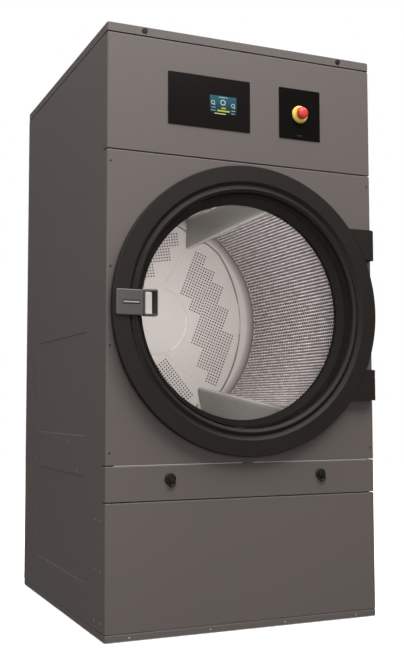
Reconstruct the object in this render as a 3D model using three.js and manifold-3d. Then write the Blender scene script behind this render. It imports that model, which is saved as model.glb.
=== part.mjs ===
// Commercial tumble dryer: a sheet-steel cabinet with a full-width glazed door, a rotating perforated
// drum on a cantilever shaft, a belt drive, an exhaust fan, a pull-out lint drawer, a touch-screen
// control fascia with an emergency stop, and a lift-up top lid.
// Units are millimetres. +Z is up and -Y is the front. The origin is on the floor, under the middle
// of the machine's outer box.
import * as THREE from "three";
import { mergeVertices } from "three/addons/utils/BufferGeometryUtils.js";
import Module from "manifold-3d";

const wasm = await Module();
wasm.setup();

// ---------------------------------------------------------------- driving dimensions
const WIDTH = 985;
const DEPTH = 1082;
const HEIGHT = 1965;
const OVERHANG = 50; // how far the handle stands out in front, and the exhaust collar behind
const SHEET = 2;
const GAP = 3; // shadow gap between neighbouring outer panels
const CLEAR = 0.3; // gap between pieces that rest against each other
const HALF = WIDTH / 2;
const CORNER_RADIUS = 6;
const RETURN_DEPTH = 36; // how far the front panels wrap round the cabinet's sides
const FLANGE_DEPTH = 20;

// heights of the joints between the front panels
const PLINTH_TOP = 25;
const DRAWER_BOTTOM = 428;
const DRAWER_TOP = 542;
const DOOR_PANEL_TOP = 1550;
const LID_BOTTOM = 1934;

// side panel embossing
const EMBOSS_FRONT = 205;
const EMBOSS_BACK = 870;
const EMBOSS_HEIGHT = 350;
const EMBOSS_FIRST = 148;
const EMBOSS_PITCH = 479.5;
const EMBOSS_DEPTH = 1.2;

// door, all circles about an axis along Y
const DOOR_Z = 1046;
const DOOR_RADIUS = 484;
const DOOR_PROUD = 40;
const FACE_INNER_RADIUS = 430;
const GLASS_RADIUS = 364; // what shows of the glass
const MOUTH_RADIUS = 398; // opening in the door panel
const HINGE_X = 481;
const HINGE_Y = -23;
const HINGE_OFFSET = 246; // of each hinge from the door's centre height
const HINGE_HEIGHT = 106;
const HINGE_LEFT = 370; // inner end of the ear, under the ring
const HINGE_RIGHT = 475;
const PIN_RADIUS = 3;
const PIN_BORE = 3.1;
const KNUCKLE_RADIUS = 6;
const KNUCKLE_HALF = 28; // half the height of the door's knuckle
const KNUCKLE_CLEAR = 1; // between the door's knuckle and the cabinet's
const FRAME_FRONT = -21; // where the inner frame meets the ring
const SEAT_RADIUS = 376; // of the seat that holds the glass
const SEAT_FRONT = 34;
const SEAT_BACK = 50;
const GLASS_BACK = 40.3;

// drum, about an axis along Y
const DRUM_Z = 1085;
const DRUM_RADIUS = 460;
const DRUM_SHEET = 2;
const DRUM_FRONT = 66;
const DRUM_BACK = 868;
const DRUM_MOUTH_RADIUS = 440;
const LIFTER_ANGLE = 65; // degrees above +X for the first lifter
const LIFTER_COUNT = 3;
const LIFTER_HALF_BASE = 62;
const LIFTER_TIP_BACK = 342; // distance of the lifter's crest from the drum axis at the back
const LIFTER_TIP_FRONT = 426;
const LIFTER_TWIST = -5.8; // degrees from back to front

// drive line
const SHAFT_RADIUS = 20;
const BULKHEAD_Y = 893;
const BEARING_RADIUS = 40;
const BEARING_WIDTH = 18;
const PULLEY_Y = 1010;
const PULLEY_WIDTH = 30;
const PULLEY_RADIUS = 350;
const MOTOR_PULLEY_RADIUS = 28;
const MOTOR_X = 395;
const MOTOR_Z = 650;
const BELT_THICKNESS = 5;

// exhaust fan, about an axis along X
const FAN_Y = 735;
const FAN_Z = 285;
const FAN_HALF_WIDTH = 65;
const WHEEL_RADIUS = 140;
const SCROLL_START = 160;
const SCROLL_END = 235;
const OUTLET_Y = 1040;
const OUTLET_Z = 108;
const COLLAR_RADIUS = 80;

// controls
const DISPLAY = { x0: -284, x1: 15, z0: 1653, z1: 1830 };
const SCREEN = { x0: -135, x1: -36, z0: 1703, z1: 1768 };
const ESTOP_PLATE = { x0: 127, x1: 288, z0: 1651, z1: 1830 };
const ESTOP_X = 207;
const ESTOP_Z = 1740;
const CONTROL_FACE = -2.8; // front of the display and of the stop button's plate
const ESTOP_BORE = 12;
const ESTOP_STEM = 9;
const ESTOP_HEAD_BACK = -20;
const LID_LOCK_X = 365;
const LID_LOCK_Z = 1952;
const LID_LOCK_BORE = 5.6;
const DRAWER_LOCK_X = 276;
const DRAWER_LOCK_Z = 497;

const ROUND = 48; // segments of the large circles
const SMALL_ROUND = 24;

// cable entry on the back
const GLAND_X = -380;
const GLAND_Z = 1850;
const GLAND_HOLE = 9;

// ---------------------------------------------------------------- materials
function surface(color, roughness, metalness) {
  return new THREE.MeshStandardMaterial({ color, roughness, metalness });
}

const paint = surface(0x6f6a68, 0.45, 0.3);
const darkPlastic = surface(0x34302e, 0.5, 0);
const glossBlack = surface(0x1d1a1a, 0.1, 0);
const screenBlue = surface(0x2f8fa8, 0.1, 0);
const blackRubber = surface(0x161514, 0.8, 0);
const galvanised = surface(0xb9b7b3, 0.4, 0.8);
const stainless = surface(0xd8d5d1, 0.3, 0.9);
const castGrey = surface(0x8d8a88, 0.45, 0.6);
const machinedSteel = surface(0xa9a8a6, 0.25, 1);
const castIron = surface(0x3d3c3c, 0.7, 0.5);
const aluminium = surface(0xc3c4c6, 0.35, 0.9);
const stopRed = surface(0xd0342c, 0.35, 0);
const stopYellow = surface(0xe6c21c, 0.45, 0);
const clearGlass = surface(0xe8f0f0, 0.02, 0);
clearGlass.transparent = true;
clearGlass.opacity = 0.25;

// ---------------------------------------------------------------- solids and booleans
// A closed geometry with shared vertices, no flat triangles and its faces pointing out.
function closed(geometry) {
  const bare = geometry.clone();
  bare.deleteAttribute("normal");
  bare.deleteAttribute("uv");
  const merged = mergeVertices(bare, 1e-3);
  const index = merged.index.array;
  const kept = [];
  for (let i = 0; i < index.length; i += 3) {
    const [a, b, c] = [index[i], index[i + 1], index[i + 2]];
    if (a !== b && b !== c && c !== a) kept.push(a, b, c);
  }
  merged.setIndex(volumeSign(merged.attributes.position, kept) < 0 ? kept.reverse() : kept);
  return merged;
}

function volumeSign(position, index) {
  const [a, b, c] = [new THREE.Vector3(), new THREE.Vector3(), new THREE.Vector3()];
  let volume = 0;
  for (let i = 0; i < index.length; i += 3) {
    a.fromBufferAttribute(position, index[i]);
    b.fromBufferAttribute(position, index[i + 1]);
    c.fromBufferAttribute(position, index[i + 2]);
    volume += a.dot(b.cross(c));
  }
  return Math.sign(volume);
}

function solid(geometry) {
  const mesh = closed(geometry);
  const vertProperties = new Float32Array(mesh.attributes.position.array);
  const triVerts = new Uint32Array(mesh.index.array);
  return new wasm.Manifold(new wasm.Mesh({ numProp: 3, vertProperties, triVerts }));
}

function geometryOf(manifold) {
  const mesh = manifold.getMesh();
  const geometry = new THREE.BufferGeometry();
  geometry.setAttribute("position", new THREE.BufferAttribute(mesh.vertProperties, 3));
  geometry.setIndex(new THREE.BufferAttribute(mesh.triVerts, 1));
  return geometry;
}

function join(...geometries) {
  return geometryOf(geometries.map(solid).reduce((whole, next) => whole.add(next)));
}

function cut(geometry, ...tools) {
  return geometryOf(tools.map(solid).reduce((whole, tool) => whole.subtract(tool), solid(geometry)));
}

// ---------------------------------------------------------------- basic shapes
function box(x0, x1, y0, y1, z0, z1) {
  const geometry = new THREE.BoxGeometry(x1 - x0, y1 - y0, z1 - z0);
  return geometry.translate((x0 + x1) / 2, (y0 + y1) / 2, (z0 + z1) / 2);
}

// Turns a closed outline of [radius, y] points about the Y axis through (x, z).
function turned(outline, x = 0, z = 0, segments = ROUND) {
  const points = outline.map(([radius, y]) => new THREE.Vector2(radius, y));
  if (outline[0][0] > 0) points.push(points[0].clone());
  return new THREE.LatheGeometry(points, segments).translate(x, 0, z);
}

function rodOutline(radius, from, to) {
  return [[0, from], [radius, from], [radius, to], [0, to]];
}

function tubeOutline(inner, outer, from, to) {
  return [[inner, from], [outer, from], [outer, to], [inner, to]];
}

function rodAlongY(radius, y0, y1, x, z, segments = SMALL_ROUND) {
  return turned(rodOutline(radius, y0, y1), x, z, segments);
}

function alongZ(outline, x, y, segments = SMALL_ROUND) {
  return turned(outline, 0, 0, segments).rotateX(Math.PI / 2).translate(x, y, 0);
}

function alongX(outline, y, z, segments = SMALL_ROUND) {
  return turned(outline, 0, 0, segments).rotateZ(-Math.PI / 2).translate(0, y, z);
}

// Raises a plan outline, drawn in X and Y, between two heights.
function raised(shape, z0, z1, curveSegments = 4) {
  const options = { depth: z1 - z0, bevelEnabled: false, curveSegments };
  return new THREE.ExtrudeGeometry(shape, options).translate(0, 0, z0);
}

// Extrudes an outline drawn in X and Z from y0 back to y1.
function deepened(shape, y0, y1, curveSegments = 6) {
  const options = { depth: y1 - y0, bevelEnabled: false, curveSegments };
  return new THREE.ExtrudeGeometry(shape, options).rotateX(Math.PI / 2).translate(0, y1, 0);
}

// Extrudes an outline drawn in Y and Z from x0 to x1.
function widened(shape, x0, x1, curveSegments = 6) {
  const options = { depth: x1 - x0, bevelEnabled: false, curveSegments };
  const axes = new THREE.Matrix4().makeBasis(
    new THREE.Vector3(0, 1, 0),
    new THREE.Vector3(0, 0, 1),
    new THREE.Vector3(1, 0, 0),
  );
  return new THREE.ExtrudeGeometry(shape, options).applyMatrix4(axes).translate(x0, 0, 0);
}

const machine = new THREE.Group();
machine.position.y = -DEPTH / 2;

function add(name, geometry, material) {
  const mesh = new THREE.Mesh(closed(geometry), material);
  mesh.name = name;
  machine.add(mesh);
}

// ---------------------------------------------------------------- base
function basePlinth() {
  const rim = 3;
  const underside = 3;
  const floorBottom = PLINTH_TOP - 4;
  const outer = box(-HALF, HALF, 0, DEPTH, underside, PLINTH_TOP);
  const hollow = box(-HALF + rim, HALF - rim, rim, DEPTH - rim, 0, floorBottom);
  return cut(outer, hollow);
}

function levellingFoot(x, y) {
  const top = PLINTH_TOP - 4 - CLEAR;
  const outline = [[0, 0], [24, 0], [24, 5], [12, 10], [12, top], [0, top]];
  return alongZ(outline, x, y);
}

function addBase() {
  add("base_plinth", basePlinth(), paint);
  const corners = [[-430, 70], [430, 70], [-430, DEPTH - 70], [430, DEPTH - 70]];
  corners.forEach(([x, y], i) => add(`levelling_foot_${i + 1}`, levellingFoot(x, y), blackRubber));
}

// ---------------------------------------------------------------- outer panels
// Plan of a front panel: a sheet across the front, bent back along both sides.
function wrapPlan() {
  const inner = CORNER_RADIUS - SHEET;
  const centre = HALF - CORNER_RADIUS;
  const shape = new THREE.Shape();
  shape.moveTo(-HALF, RETURN_DEPTH);
  shape.lineTo(-HALF, CORNER_RADIUS);
  shape.absarc(-centre, CORNER_RADIUS, CORNER_RADIUS, Math.PI, 1.5 * Math.PI, false);
  shape.absarc(centre, CORNER_RADIUS, CORNER_RADIUS, 1.5 * Math.PI, 2 * Math.PI, false);
  shape.lineTo(HALF, RETURN_DEPTH);
  shape.lineTo(HALF - SHEET, RETURN_DEPTH);
  shape.absarc(centre, CORNER_RADIUS, inner, 0, -0.5 * Math.PI, true);
  shape.absarc(-centre, CORNER_RADIUS, inner, 1.5 * Math.PI, Math.PI, true);
  shape.lineTo(-HALF + SHEET, RETURN_DEPTH);
  return shape;
}

function frontPanel(bottom, top) {
  const z0 = bottom + GAP / 2;
  const z1 = top - GAP / 2;
  const reach = HALF - CORNER_RADIUS;
  const lower = box(-reach, reach, SHEET / 2, FLANGE_DEPTH, z0, z0 + SHEET);
  const upper = box(-reach, reach, SHEET / 2, FLANGE_DEPTH, z1 - SHEET, z1);
  return join(raised(wrapPlan(), z0, z1), lower, upper);
}

function sidePanel(side) {
  const y0 = RETURN_DEPTH + 0.6;
  const z0 = PLINTH_TOP + CLEAR;
  const z1 = LID_BOTTOM - GAP / 2;
  const spans = [0, 1, 2].map((row) => EMBOSS_FIRST + row * EMBOSS_PITCH);
  const span = (a, b) => (side < 0 ? [-b, -a] : [a, b]);
  const sheet = box(...span(HALF - SHEET, HALF), y0, DEPTH, z0, z1);
  const backs = spans.map((z) => {
    const x = span(HALF - SHEET - EMBOSS_DEPTH, HALF - SHEET / 2);
    return box(...x, EMBOSS_FRONT - 3, EMBOSS_BACK + 3, z - 3, z + EMBOSS_HEIGHT + 3);
  });
  const pockets = spans.map((z) => {
    const x = span(HALF - EMBOSS_DEPTH, HALF + 1);
    return box(...x, EMBOSS_FRONT, EMBOSS_BACK, z, z + EMBOSS_HEIGHT);
  });
  return cut(join(sheet, ...backs), ...pockets);
}

const LOUVRES = { x: 180, z0: 1650, z1: 1830, pitch: 22, height: 11 };

// The back sheet, with the exhaust outlet low down, and air louvres and a cable entry high up.
function rearPanel() {
  const x = HALF - SHEET - CLEAR;
  const sheet = box(-x, x, DEPTH - SHEET, DEPTH, PLINTH_TOP + CLEAR, LID_BOTTOM - GAP / 2);
  const y0 = DEPTH - SHEET - 1;
  const y1 = DEPTH + 1;
  const outlet = rodAlongY(COLLAR_RADIUS + 4, y0, y1, 0, OUTLET_Z, 32);
  const gland = rodAlongY(GLAND_HOLE, y0, y1, GLAND_X, GLAND_Z);
  const slots = [];
  for (let z = LOUVRES.z0; z < LOUVRES.z1; z += LOUVRES.pitch) {
    slots.push(box(-LOUVRES.x, LOUVRES.x, y0, y1, z, z + LOUVRES.height));
  }
  return cut(sheet, outlet, gland, ...slots);
}

function cableGland() {
  const foot = DEPTH + CLEAR;
  const end = DEPTH + 24;
  const outline = [[6, foot], [14, foot], [14, DEPTH + 9], [10, end], [6, end]];
  return turned(outline, GLAND_X, GLAND_Z, SMALL_ROUND);
}

function roundedPlan(inset, radius) {
  const x = HALF - inset;
  const y0 = inset;
  const y1 = DEPTH - inset;
  const shape = new THREE.Shape();
  shape.absarc(-x + radius, y0 + radius, radius, Math.PI, 1.5 * Math.PI, false);
  shape.absarc(x - radius, y0 + radius, radius, 1.5 * Math.PI, 2 * Math.PI, false);
  shape.absarc(x - radius, y1 - radius, radius, 0, 0.5 * Math.PI, false);
  shape.absarc(-x + radius, y1 - radius, radius, 0.5 * Math.PI, Math.PI, false);
  return shape;
}

function topLid() {
  const z0 = LID_BOTTOM + GAP / 2;
  const outer = raised(roundedPlan(0, CORNER_RADIUS), z0, HEIGHT);
  const hollow = raised(roundedPlan(SHEET, CORNER_RADIUS - SHEET), z0 - 1, HEIGHT - SHEET);
  const hole = (side) => rodAlongY(LID_LOCK_BORE, -1, SHEET + 1, side * LID_LOCK_X, LID_LOCK_Z);
  return cut(outer, hollow, hole(-1), hole(1));
}

// A key-operated cylinder lock: a flat head with a key slot, and a barrel through the lid's skirt.
function lidLock(side) {
  const x = side * LID_LOCK_X;
  const face = -2.6;
  const barrel = LID_LOCK_BORE - 0.6;
  const outline = [
    [0, face], [6.5, face], [7.5, face + 1], [7.5, -CLEAR], [barrel, -CLEAR], [barrel, 18], [0, 18],
  ];
  const keySlot = box(x - 0.8, x + 0.8, face - 0.4, face + 1.4, LID_LOCK_Z - 4, LID_LOCK_Z + 4);
  return cut(turned(outline, x, LID_LOCK_Z, SMALL_ROUND), keySlot);
}

function doorPanel() {
  const mouth = rodAlongY(MOUTH_RADIUS, -1, FLANGE_DEPTH + 1, 0, DOOR_Z, ROUND);
  return cut(frontPanel(DRAWER_TOP, DOOR_PANEL_TOP), mouth);
}

function doorSeal() {
  const outer = MOUTH_RADIUS - CLEAR;
  const lip = MOUTH_RADIUS + 9;
  const outline = [
    [outer - 4, -1.2], [outer, -1.2], [outer, SHEET + CLEAR], [lip, SHEET + CLEAR],
    [lip, 5], [outer, 5], [outer, 26], [outer - 4, 22],
  ];
  return turned(outline, 0, DOOR_Z);
}

function controlFascia() {
  const sheet = frontPanel(DOOR_PANEL_TOP, LID_BOTTOM);
  const margin = 6;
  const display = box(
    DISPLAY.x0 + margin, DISPLAY.x1 - margin, -1, SHEET + 1, DISPLAY.z0 + margin, DISPLAY.z1 - margin,
  );
  const stop = rodAlongY(ESTOP_BORE, -1, SHEET + 1, ESTOP_X, ESTOP_Z);
  return cut(sheet, display, stop);
}

function addPanels() {
  add("side_panel_left", sidePanel(-1), paint);
  add("side_panel_right", sidePanel(1), paint);
  add("rear_panel", rearPanel(), galvanised);
  add("cable_gland", cableGland(), darkPlastic);
  add("top_lid", topLid(), paint);
  add("lid_lock_left", lidLock(-1), glossBlack);
  add("lid_lock_right", lidLock(1), glossBlack);
  add("control_fascia", controlFascia(), paint);
  add("door_panel", doorPanel(), paint);
  add("door_seal", doorSeal(), blackRubber);
  add("lower_front_panel", frontPanel(PLINTH_TOP, DRAWER_BOTTOM), paint);
}

// ---------------------------------------------------------------- controls
function displayBezel() {
  const { x0, x1, z0, z1 } = DISPLAY;
  const plate = box(x0, x1, CONTROL_FACE, -CLEAR, z0, z1);
  const margin = 6.5;
  const housing = box(x0 + margin, x1 - margin, -1, 32, z0 + margin, z1 - margin);
  const floor = CONTROL_FACE + 2;
  const pocket = box(SCREEN.x0, SCREEN.x1, CONTROL_FACE - 1, floor, SCREEN.z0, SCREEN.z1);
  const cavity = box(x0 + 12, x1 - 12, 4, 33, z0 + 12, z1 - 12);
  return cut(join(plate, housing), pocket, cavity);
}

function touchScreen() {
  const { x0, x1, z0, z1 } = SCREEN;
  const back = CONTROL_FACE + 2 - CLEAR;
  return box(x0 + CLEAR, x1 - CLEAR, CONTROL_FACE, back, z0 + CLEAR, z1 - CLEAR);
}

function estopPlate() {
  const { x0, x1, z0, z1 } = ESTOP_PLATE;
  const plate = box(x0, x1, CONTROL_FACE, -CLEAR, z0, z1);
  return cut(plate, rodAlongY(ESTOP_BORE, CONTROL_FACE - 1.2, 1, ESTOP_X, ESTOP_Z));
}

function estopCollar() {
  const back = CONTROL_FACE - CLEAR;
  const front = -11;
  const bore = ESTOP_STEM + 1;
  const outline = [[bore, back], [32, back], [32, back - 3], [26, front], [bore, front]];
  return turned(outline, ESTOP_X, ESTOP_Z, 36);
}

function estopHead() {
  const seat = ESTOP_HEAD_BACK;
  const outline = [
    [0, seat], [9.4, seat], [9.4, seat + 3], [17, seat + 3], [20.5, seat], [20.5, seat - 7],
    [18, seat - 11], [11, seat - 14.5], [0, seat - 16],
  ];
  return turned(outline, ESTOP_X, ESTOP_Z, 36);
}

function estopStem() {
  return rodAlongY(ESTOP_STEM, ESTOP_HEAD_BACK + CLEAR, 24, ESTOP_X, ESTOP_Z);
}

function addControls() {
  add("display_bezel", displayBezel(), glossBlack);
  add("touch_screen", touchScreen(), screenBlue);
  add("estop_plate", estopPlate(), glossBlack);
  add("estop_collar", estopCollar(), stopYellow);
  add("estop_stem", estopStem(), darkPlastic);
  add("estop_head", estopHead(), stopRed);
}

// ---------------------------------------------------------------- lint drawer
const TRAY = { x: 440, y0: FLANGE_DEPTH + 2, y1: 540, z0: 440, z1: 512, wall: 2 };

function drawerLockHole(side) {
  return rodAlongY(9, -1, SHEET + 1, side * DRAWER_LOCK_X, DRAWER_LOCK_Z);
}

function drawerFront() {
  return cut(frontPanel(DRAWER_BOTTOM, DRAWER_TOP), drawerLockHole(-1), drawerLockHole(1));
}

function lintTray() {
  const { x, y0, y1, z0, z1, wall } = TRAY;
  const bin = cut(
    box(-x, x, y0, y1, z0, z1),
    box(-x + wall, x - wall, y0 + wall, y1 - wall, z0 + wall, z1 + 1),
  );
  const lip = box(-x - 14, -x + wall, y0, y1, z1 - wall, z1);
  const otherLip = box(x - wall, x + 14, y0, y1, z1 - wall, z1);
  return join(bin, lip, otherLip);
}

// A quarter-turn latch: a round cap, a raised hub and a lifting bail that hangs below the hub.
function drawerLock(side) {
  const x = side * DRAWER_LOCK_X;
  const z = DRAWER_LOCK_Z;
  const cap = turned(
    [[0, -7], [16, -7], [19, -4], [19, -CLEAR], [8, -CLEAR], [8, 20], [0, 20]], x, z, SMALL_ROUND,
  );
  const hub = rodAlongY(10, -13, -6, x, z, 16);
  const bail = turned(tubeOutline(9, 14, -9, -4), x + 3, z - 13, SMALL_ROUND);
  return join(cap, hub, bail);
}

function addLintDrawer() {
  add("lint_drawer_front", drawerFront(), paint);
  add("lint_tray", lintTray(), galvanised);
  add("drawer_lock_left", drawerLock(-1), darkPlastic);
  add("drawer_lock_right", drawerLock(1), darkPlastic);
}

// ---------------------------------------------------------------- inner structure
// The plate between the front panels and the drum: it carries the tunnel that leads from the door to
// the drum, and two rails that the lint tray's lips slide along.
function frontBulkhead() {
  const x = HALF - SHEET - EMBOSS_DEPTH - 3;
  const y0 = 56;
  const top = DOOR_PANEL_TOP + 2;
  const plate = box(-x, x, y0, y0 + SHEET, PLINTH_TOP + CLEAR, top);
  const lowerBay = box(-x + 16, x - 16, y0 - 1, y0 + SHEET + 1, 0, DRAWER_TOP + 3);
  const tunnel = turned(tubeOutline(MOUTH_RADIUS, MOUTH_RADIUS + SHEET, 8, y0 + 1), 0, DOOR_Z);
  const mouth = rodAlongY(MOUTH_RADIUS, 7, y0 + SHEET + 1, 0, DOOR_Z, ROUND);
  const railTop = TRAY.z1 - TRAY.wall - CLEAR;
  const rails = [-1, 1].map((side) => {
    const [a, b] = side < 0 ? [-x, -TRAY.x - 4] : [TRAY.x + 4, x];
    return box(a, b, y0, TRAY.y1 + 20, railTop - SHEET, railTop);
  });
  return join(cut(join(plate, tunnel), lowerBay, mouth), ...rails);
}

function rearBulkhead() {
  const x = HALF - SHEET - EMBOSS_DEPTH - 3;
  const top = DOOR_PANEL_TOP + 2;
  const plate = box(-x, x, BULKHEAD_Y, BULKHEAD_Y + 3, PLINTH_TOP + CLEAR, top);
  const fins = [-1, 1].map((side) => {
    const [a, b] = side < 0 ? [-x, -x + 3] : [x - 3, x];
    return box(a, b, BULKHEAD_Y, BULKHEAD_Y + 30, PLINTH_TOP + CLEAR, top);
  });
  const shaftHole = rodAlongY(34, BULKHEAD_Y - 1, BULKHEAD_Y + 4, 0, DRUM_Z, 32);
  const fanBay = box(-270, 110, BULKHEAD_Y - 1, BULKHEAD_Y + 4, 0, 520);
  return cut(join(plate, ...fins), shaftHole, fanBay);
}

function controlShelf() {
  const x = HALF - SHEET - EMBOSS_DEPTH - 3;
  const z0 = DOOR_PANEL_TOP + 6;
  const duct = box(-280, 280, 450, 850, z0 - 1, z0 + SHEET + 1);
  return cut(box(-x, x, FLANGE_DEPTH + 4, DEPTH - SHEET - 2, z0, z0 + SHEET), duct);
}

function heaterBox() {
  const z0 = DOOR_PANEL_TOP + 6 + SHEET + CLEAR;
  const shell = box(-300, 300, 430, 1000, z0, 1880);
  const inside = box(-298, 298, 432, 998, z0 + SHEET, 1878);
  const outlet = box(-280, 280, 450, 850, z0 - 1, z0 + SHEET + 1);
  const inlet = box(-200, 200, 990, 1001, 1640, 1840);
  return cut(shell, inside, outlet, inlet);
}

function addStructure() {
  add("front_bulkhead", frontBulkhead(), galvanised);
  add("rear_bulkhead", rearBulkhead(), galvanised);
  add("control_shelf", controlShelf(), galvanised);
  add("heater_box", heaterBox(), galvanised);
}

// ---------------------------------------------------------------- door
// The moulded outer ring: a flat face, then a stepped groove that leads in towards the window.
function doorRing() {
  const r = DOOR_RADIUS;
  const face = -DOOR_PROUD;
  const step = FACE_INNER_RADIUS;
  const outline = [
    [r - 4, -2], [r, -6], [r, face + 8], [r - 2.4, face + 2.4], [r - 8, face], [step, face],
    [step - 14, face + 14], [step - 26, face + 3], [step - 36, face + 18], [step - 41, face + 20],
    [step - 41, face + 26], [step - 24, face + 9], [step - 12, face + 20], [step + 3, face + 5],
    [r - 9, face + 5], [r - 5, face + 10], [r - 5, -8], [r - 8, -2],
  ];
  return turned(outline, 0, DOOR_Z);
}

// The inner frame runs back from the ring, narrows to the glass, and has a seat for it behind.
function doorInnerFrame() {
  const outer = FACE_INNER_RADIUS - 41 - CLEAR;
  const inside = outer - 2.5;
  const seatWall = SEAT_RADIUS + 6;
  const outline = [
    [outer - 1, FRAME_FRONT], [inside, -6], [inside - 3, 8], [GLASS_RADIUS, 26], [GLASS_RADIUS, SEAT_FRONT],
    [SEAT_RADIUS, SEAT_FRONT], [SEAT_RADIUS, SEAT_BACK], [seatWall, SEAT_BACK], [seatWall, SEAT_FRONT],
    [outer, 16], [outer, FRAME_FRONT],
  ];
  return turned(outline, 0, DOOR_Z);
}

function doorBackPlate() {
  return turned(tubeOutline(FACE_INNER_RADIUS - 40, DOOR_RADIUS - 9, -6, -3), 0, DOOR_Z);
}

function addDoorGlazing() {
  const rim = SEAT_RADIUS - CLEAR;
  const pane = turned(rodOutline(rim, SEAT_FRONT + CLEAR, GLASS_BACK), 0, DOOR_Z);
  const gasket = tubeOutline(GLASS_RADIUS + 1, rim, GLASS_BACK + CLEAR, SEAT_BACK - 2);
  add("door_glass", pane, clearGlass);
  add("glass_gasket", turned(gasket, 0, DOOR_Z), blackRubber);
}

const LATCH = { x0: -474, x1: -383, z0: 1013, z1: 1095, front: -47 };
const HANDLE = { x0: -382.7, x1: -336, z0: 1012, z1: 1097, back: -24, side: 9, rail: 7, web: 3 };

function latchPlate() {
  const { x0, x1, z0, z1, front } = LATCH;
  return box(x0, x1, front, -DOOR_PROUD - CLEAR, z0, z1);
}

// A deep rectangular loop beside the latch plate: the fingers go in from the front.
function pullHandle() {
  const { x0, x1, z0, z1, back, side, rail, web } = HANDLE;
  const block = box(x0, x1, -OVERHANG, back, z0, z1);
  return cut(block, box(x0 + web, x1 - side, -OVERHANG - 1, back + 1, z0 + rail, z1 - rail));
}

function hingeBore(z) {
  const reach = HINGE_HEIGHT / 2 + 7;
  return alongZ(rodOutline(PIN_BORE, z - reach, z + reach), HINGE_X, HINGE_Y, 16);
}

// The hinge arm on the door: an ear that fills the corner beside the ring, and a middle knuckle.
function hingeArm(z) {
  const half = HINGE_HEIGHT / 2;
  const low = z - KNUCKLE_HALF;
  const high = z + KNUCKLE_HALF;
  const ear = box(HINGE_LEFT, HINGE_RIGHT, -DOOR_PROUD + 1, -5, z - half, z + half);
  const web = box(HINGE_RIGHT - 1, HINGE_X, HINGE_Y - 5, HINGE_Y + 5, low, high);
  const knuckle = alongZ(rodOutline(KNUCKLE_RADIUS, low, high), HINGE_X, HINGE_Y);
  const ringSpace = rodAlongY(DOOR_RADIUS + CLEAR, -60, 10, 0, DOOR_Z, ROUND * 2);
  return cut(join(ear, web, knuckle), ringSpace, hingeBore(z));
}

// The hinge bracket on the cabinet: a leaf on the door panel and two knuckles, above and below.
function hingeBracket(z) {
  const half = HINGE_HEIGHT / 2;
  const clear = KNUCKLE_HALF + KNUCKLE_CLEAR;
  const leaf = box(450, 484, -2.6, -CLEAR, z - half, z + half);
  const ends = [[z - half, z - clear], [z + clear, z + half]];
  const webs = ends.map(([a, b]) => box(HINGE_X - 3, HINGE_X + 3, HINGE_Y, -1, a, b));
  const knuckles = ends.map(([a, b]) => alongZ(rodOutline(KNUCKLE_RADIUS, a, b), HINGE_X, HINGE_Y));
  return cut(join(leaf, ...webs, ...knuckles), hingeBore(z));
}

function hingePin(z) {
  const half = HINGE_HEIGHT / 2;
  return alongZ(rodOutline(PIN_RADIUS, z - half, z + half), HINGE_X, HINGE_Y, 16);
}

function addDoor() {
  add("door_ring", doorRing(), darkPlastic);
  add("door_back_plate", doorBackPlate(), galvanised);
  add("door_inner_frame", doorInnerFrame(), darkPlastic);
  addDoorGlazing();
  add("latch_plate", latchPlate(), castGrey);
  add("pull_handle", pullHandle(), castGrey);
  for (const [place, z] of [["upper", DOOR_Z + HINGE_OFFSET], ["lower", DOOR_Z - HINGE_OFFSET]]) {
    add(`hinge_arm_${place}`, hingeArm(z), darkPlastic);
    add(`hinge_bracket_${place}`, hingeBracket(z), darkPlastic);
    add(`hinge_pin_${place}`, hingePin(z), machinedSteel);
  }
}

// ---------------------------------------------------------------- drum
function drumShell() {
  const outer = DRUM_RADIUS + DRUM_SHEET;
  const outline = [
    [DRUM_MOUTH_RADIUS, DRUM_FRONT], [outer, DRUM_FRONT], [outer, DRUM_BACK],
    [DRUM_RADIUS, DRUM_BACK], [DRUM_RADIUS, DRUM_FRONT + DRUM_SHEET],
    [DRUM_MOUTH_RADIUS, DRUM_FRONT + DRUM_SHEET],
  ];
  return turned(outline, 0, DRUM_Z);
}

// The back plate closes the shell with a rolled shoulder and a shallow recessed middle.
function drumBackPlate() {
  const y = DRUM_BACK + CLEAR;
  const rim = DRUM_RADIUS + DRUM_SHEET;
  const outline = [
    [0, y - 4], [150, y - 4], [160, y], [392, y], [rim, y], [rim, y + 3], [150, y + 3], [0, y + 3],
  ];
  return turned(outline, 0, DRUM_Z);
}

// Section of a lifter as [radial height, half width] pairs from one foot over the crest.
const LIFTER_SECTION = [[0, 1], [0.3, 0.68], [0.9, 0.15], [1, 0], [0.9, -0.15], [0.3, -0.68], [0, -1]];

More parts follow.
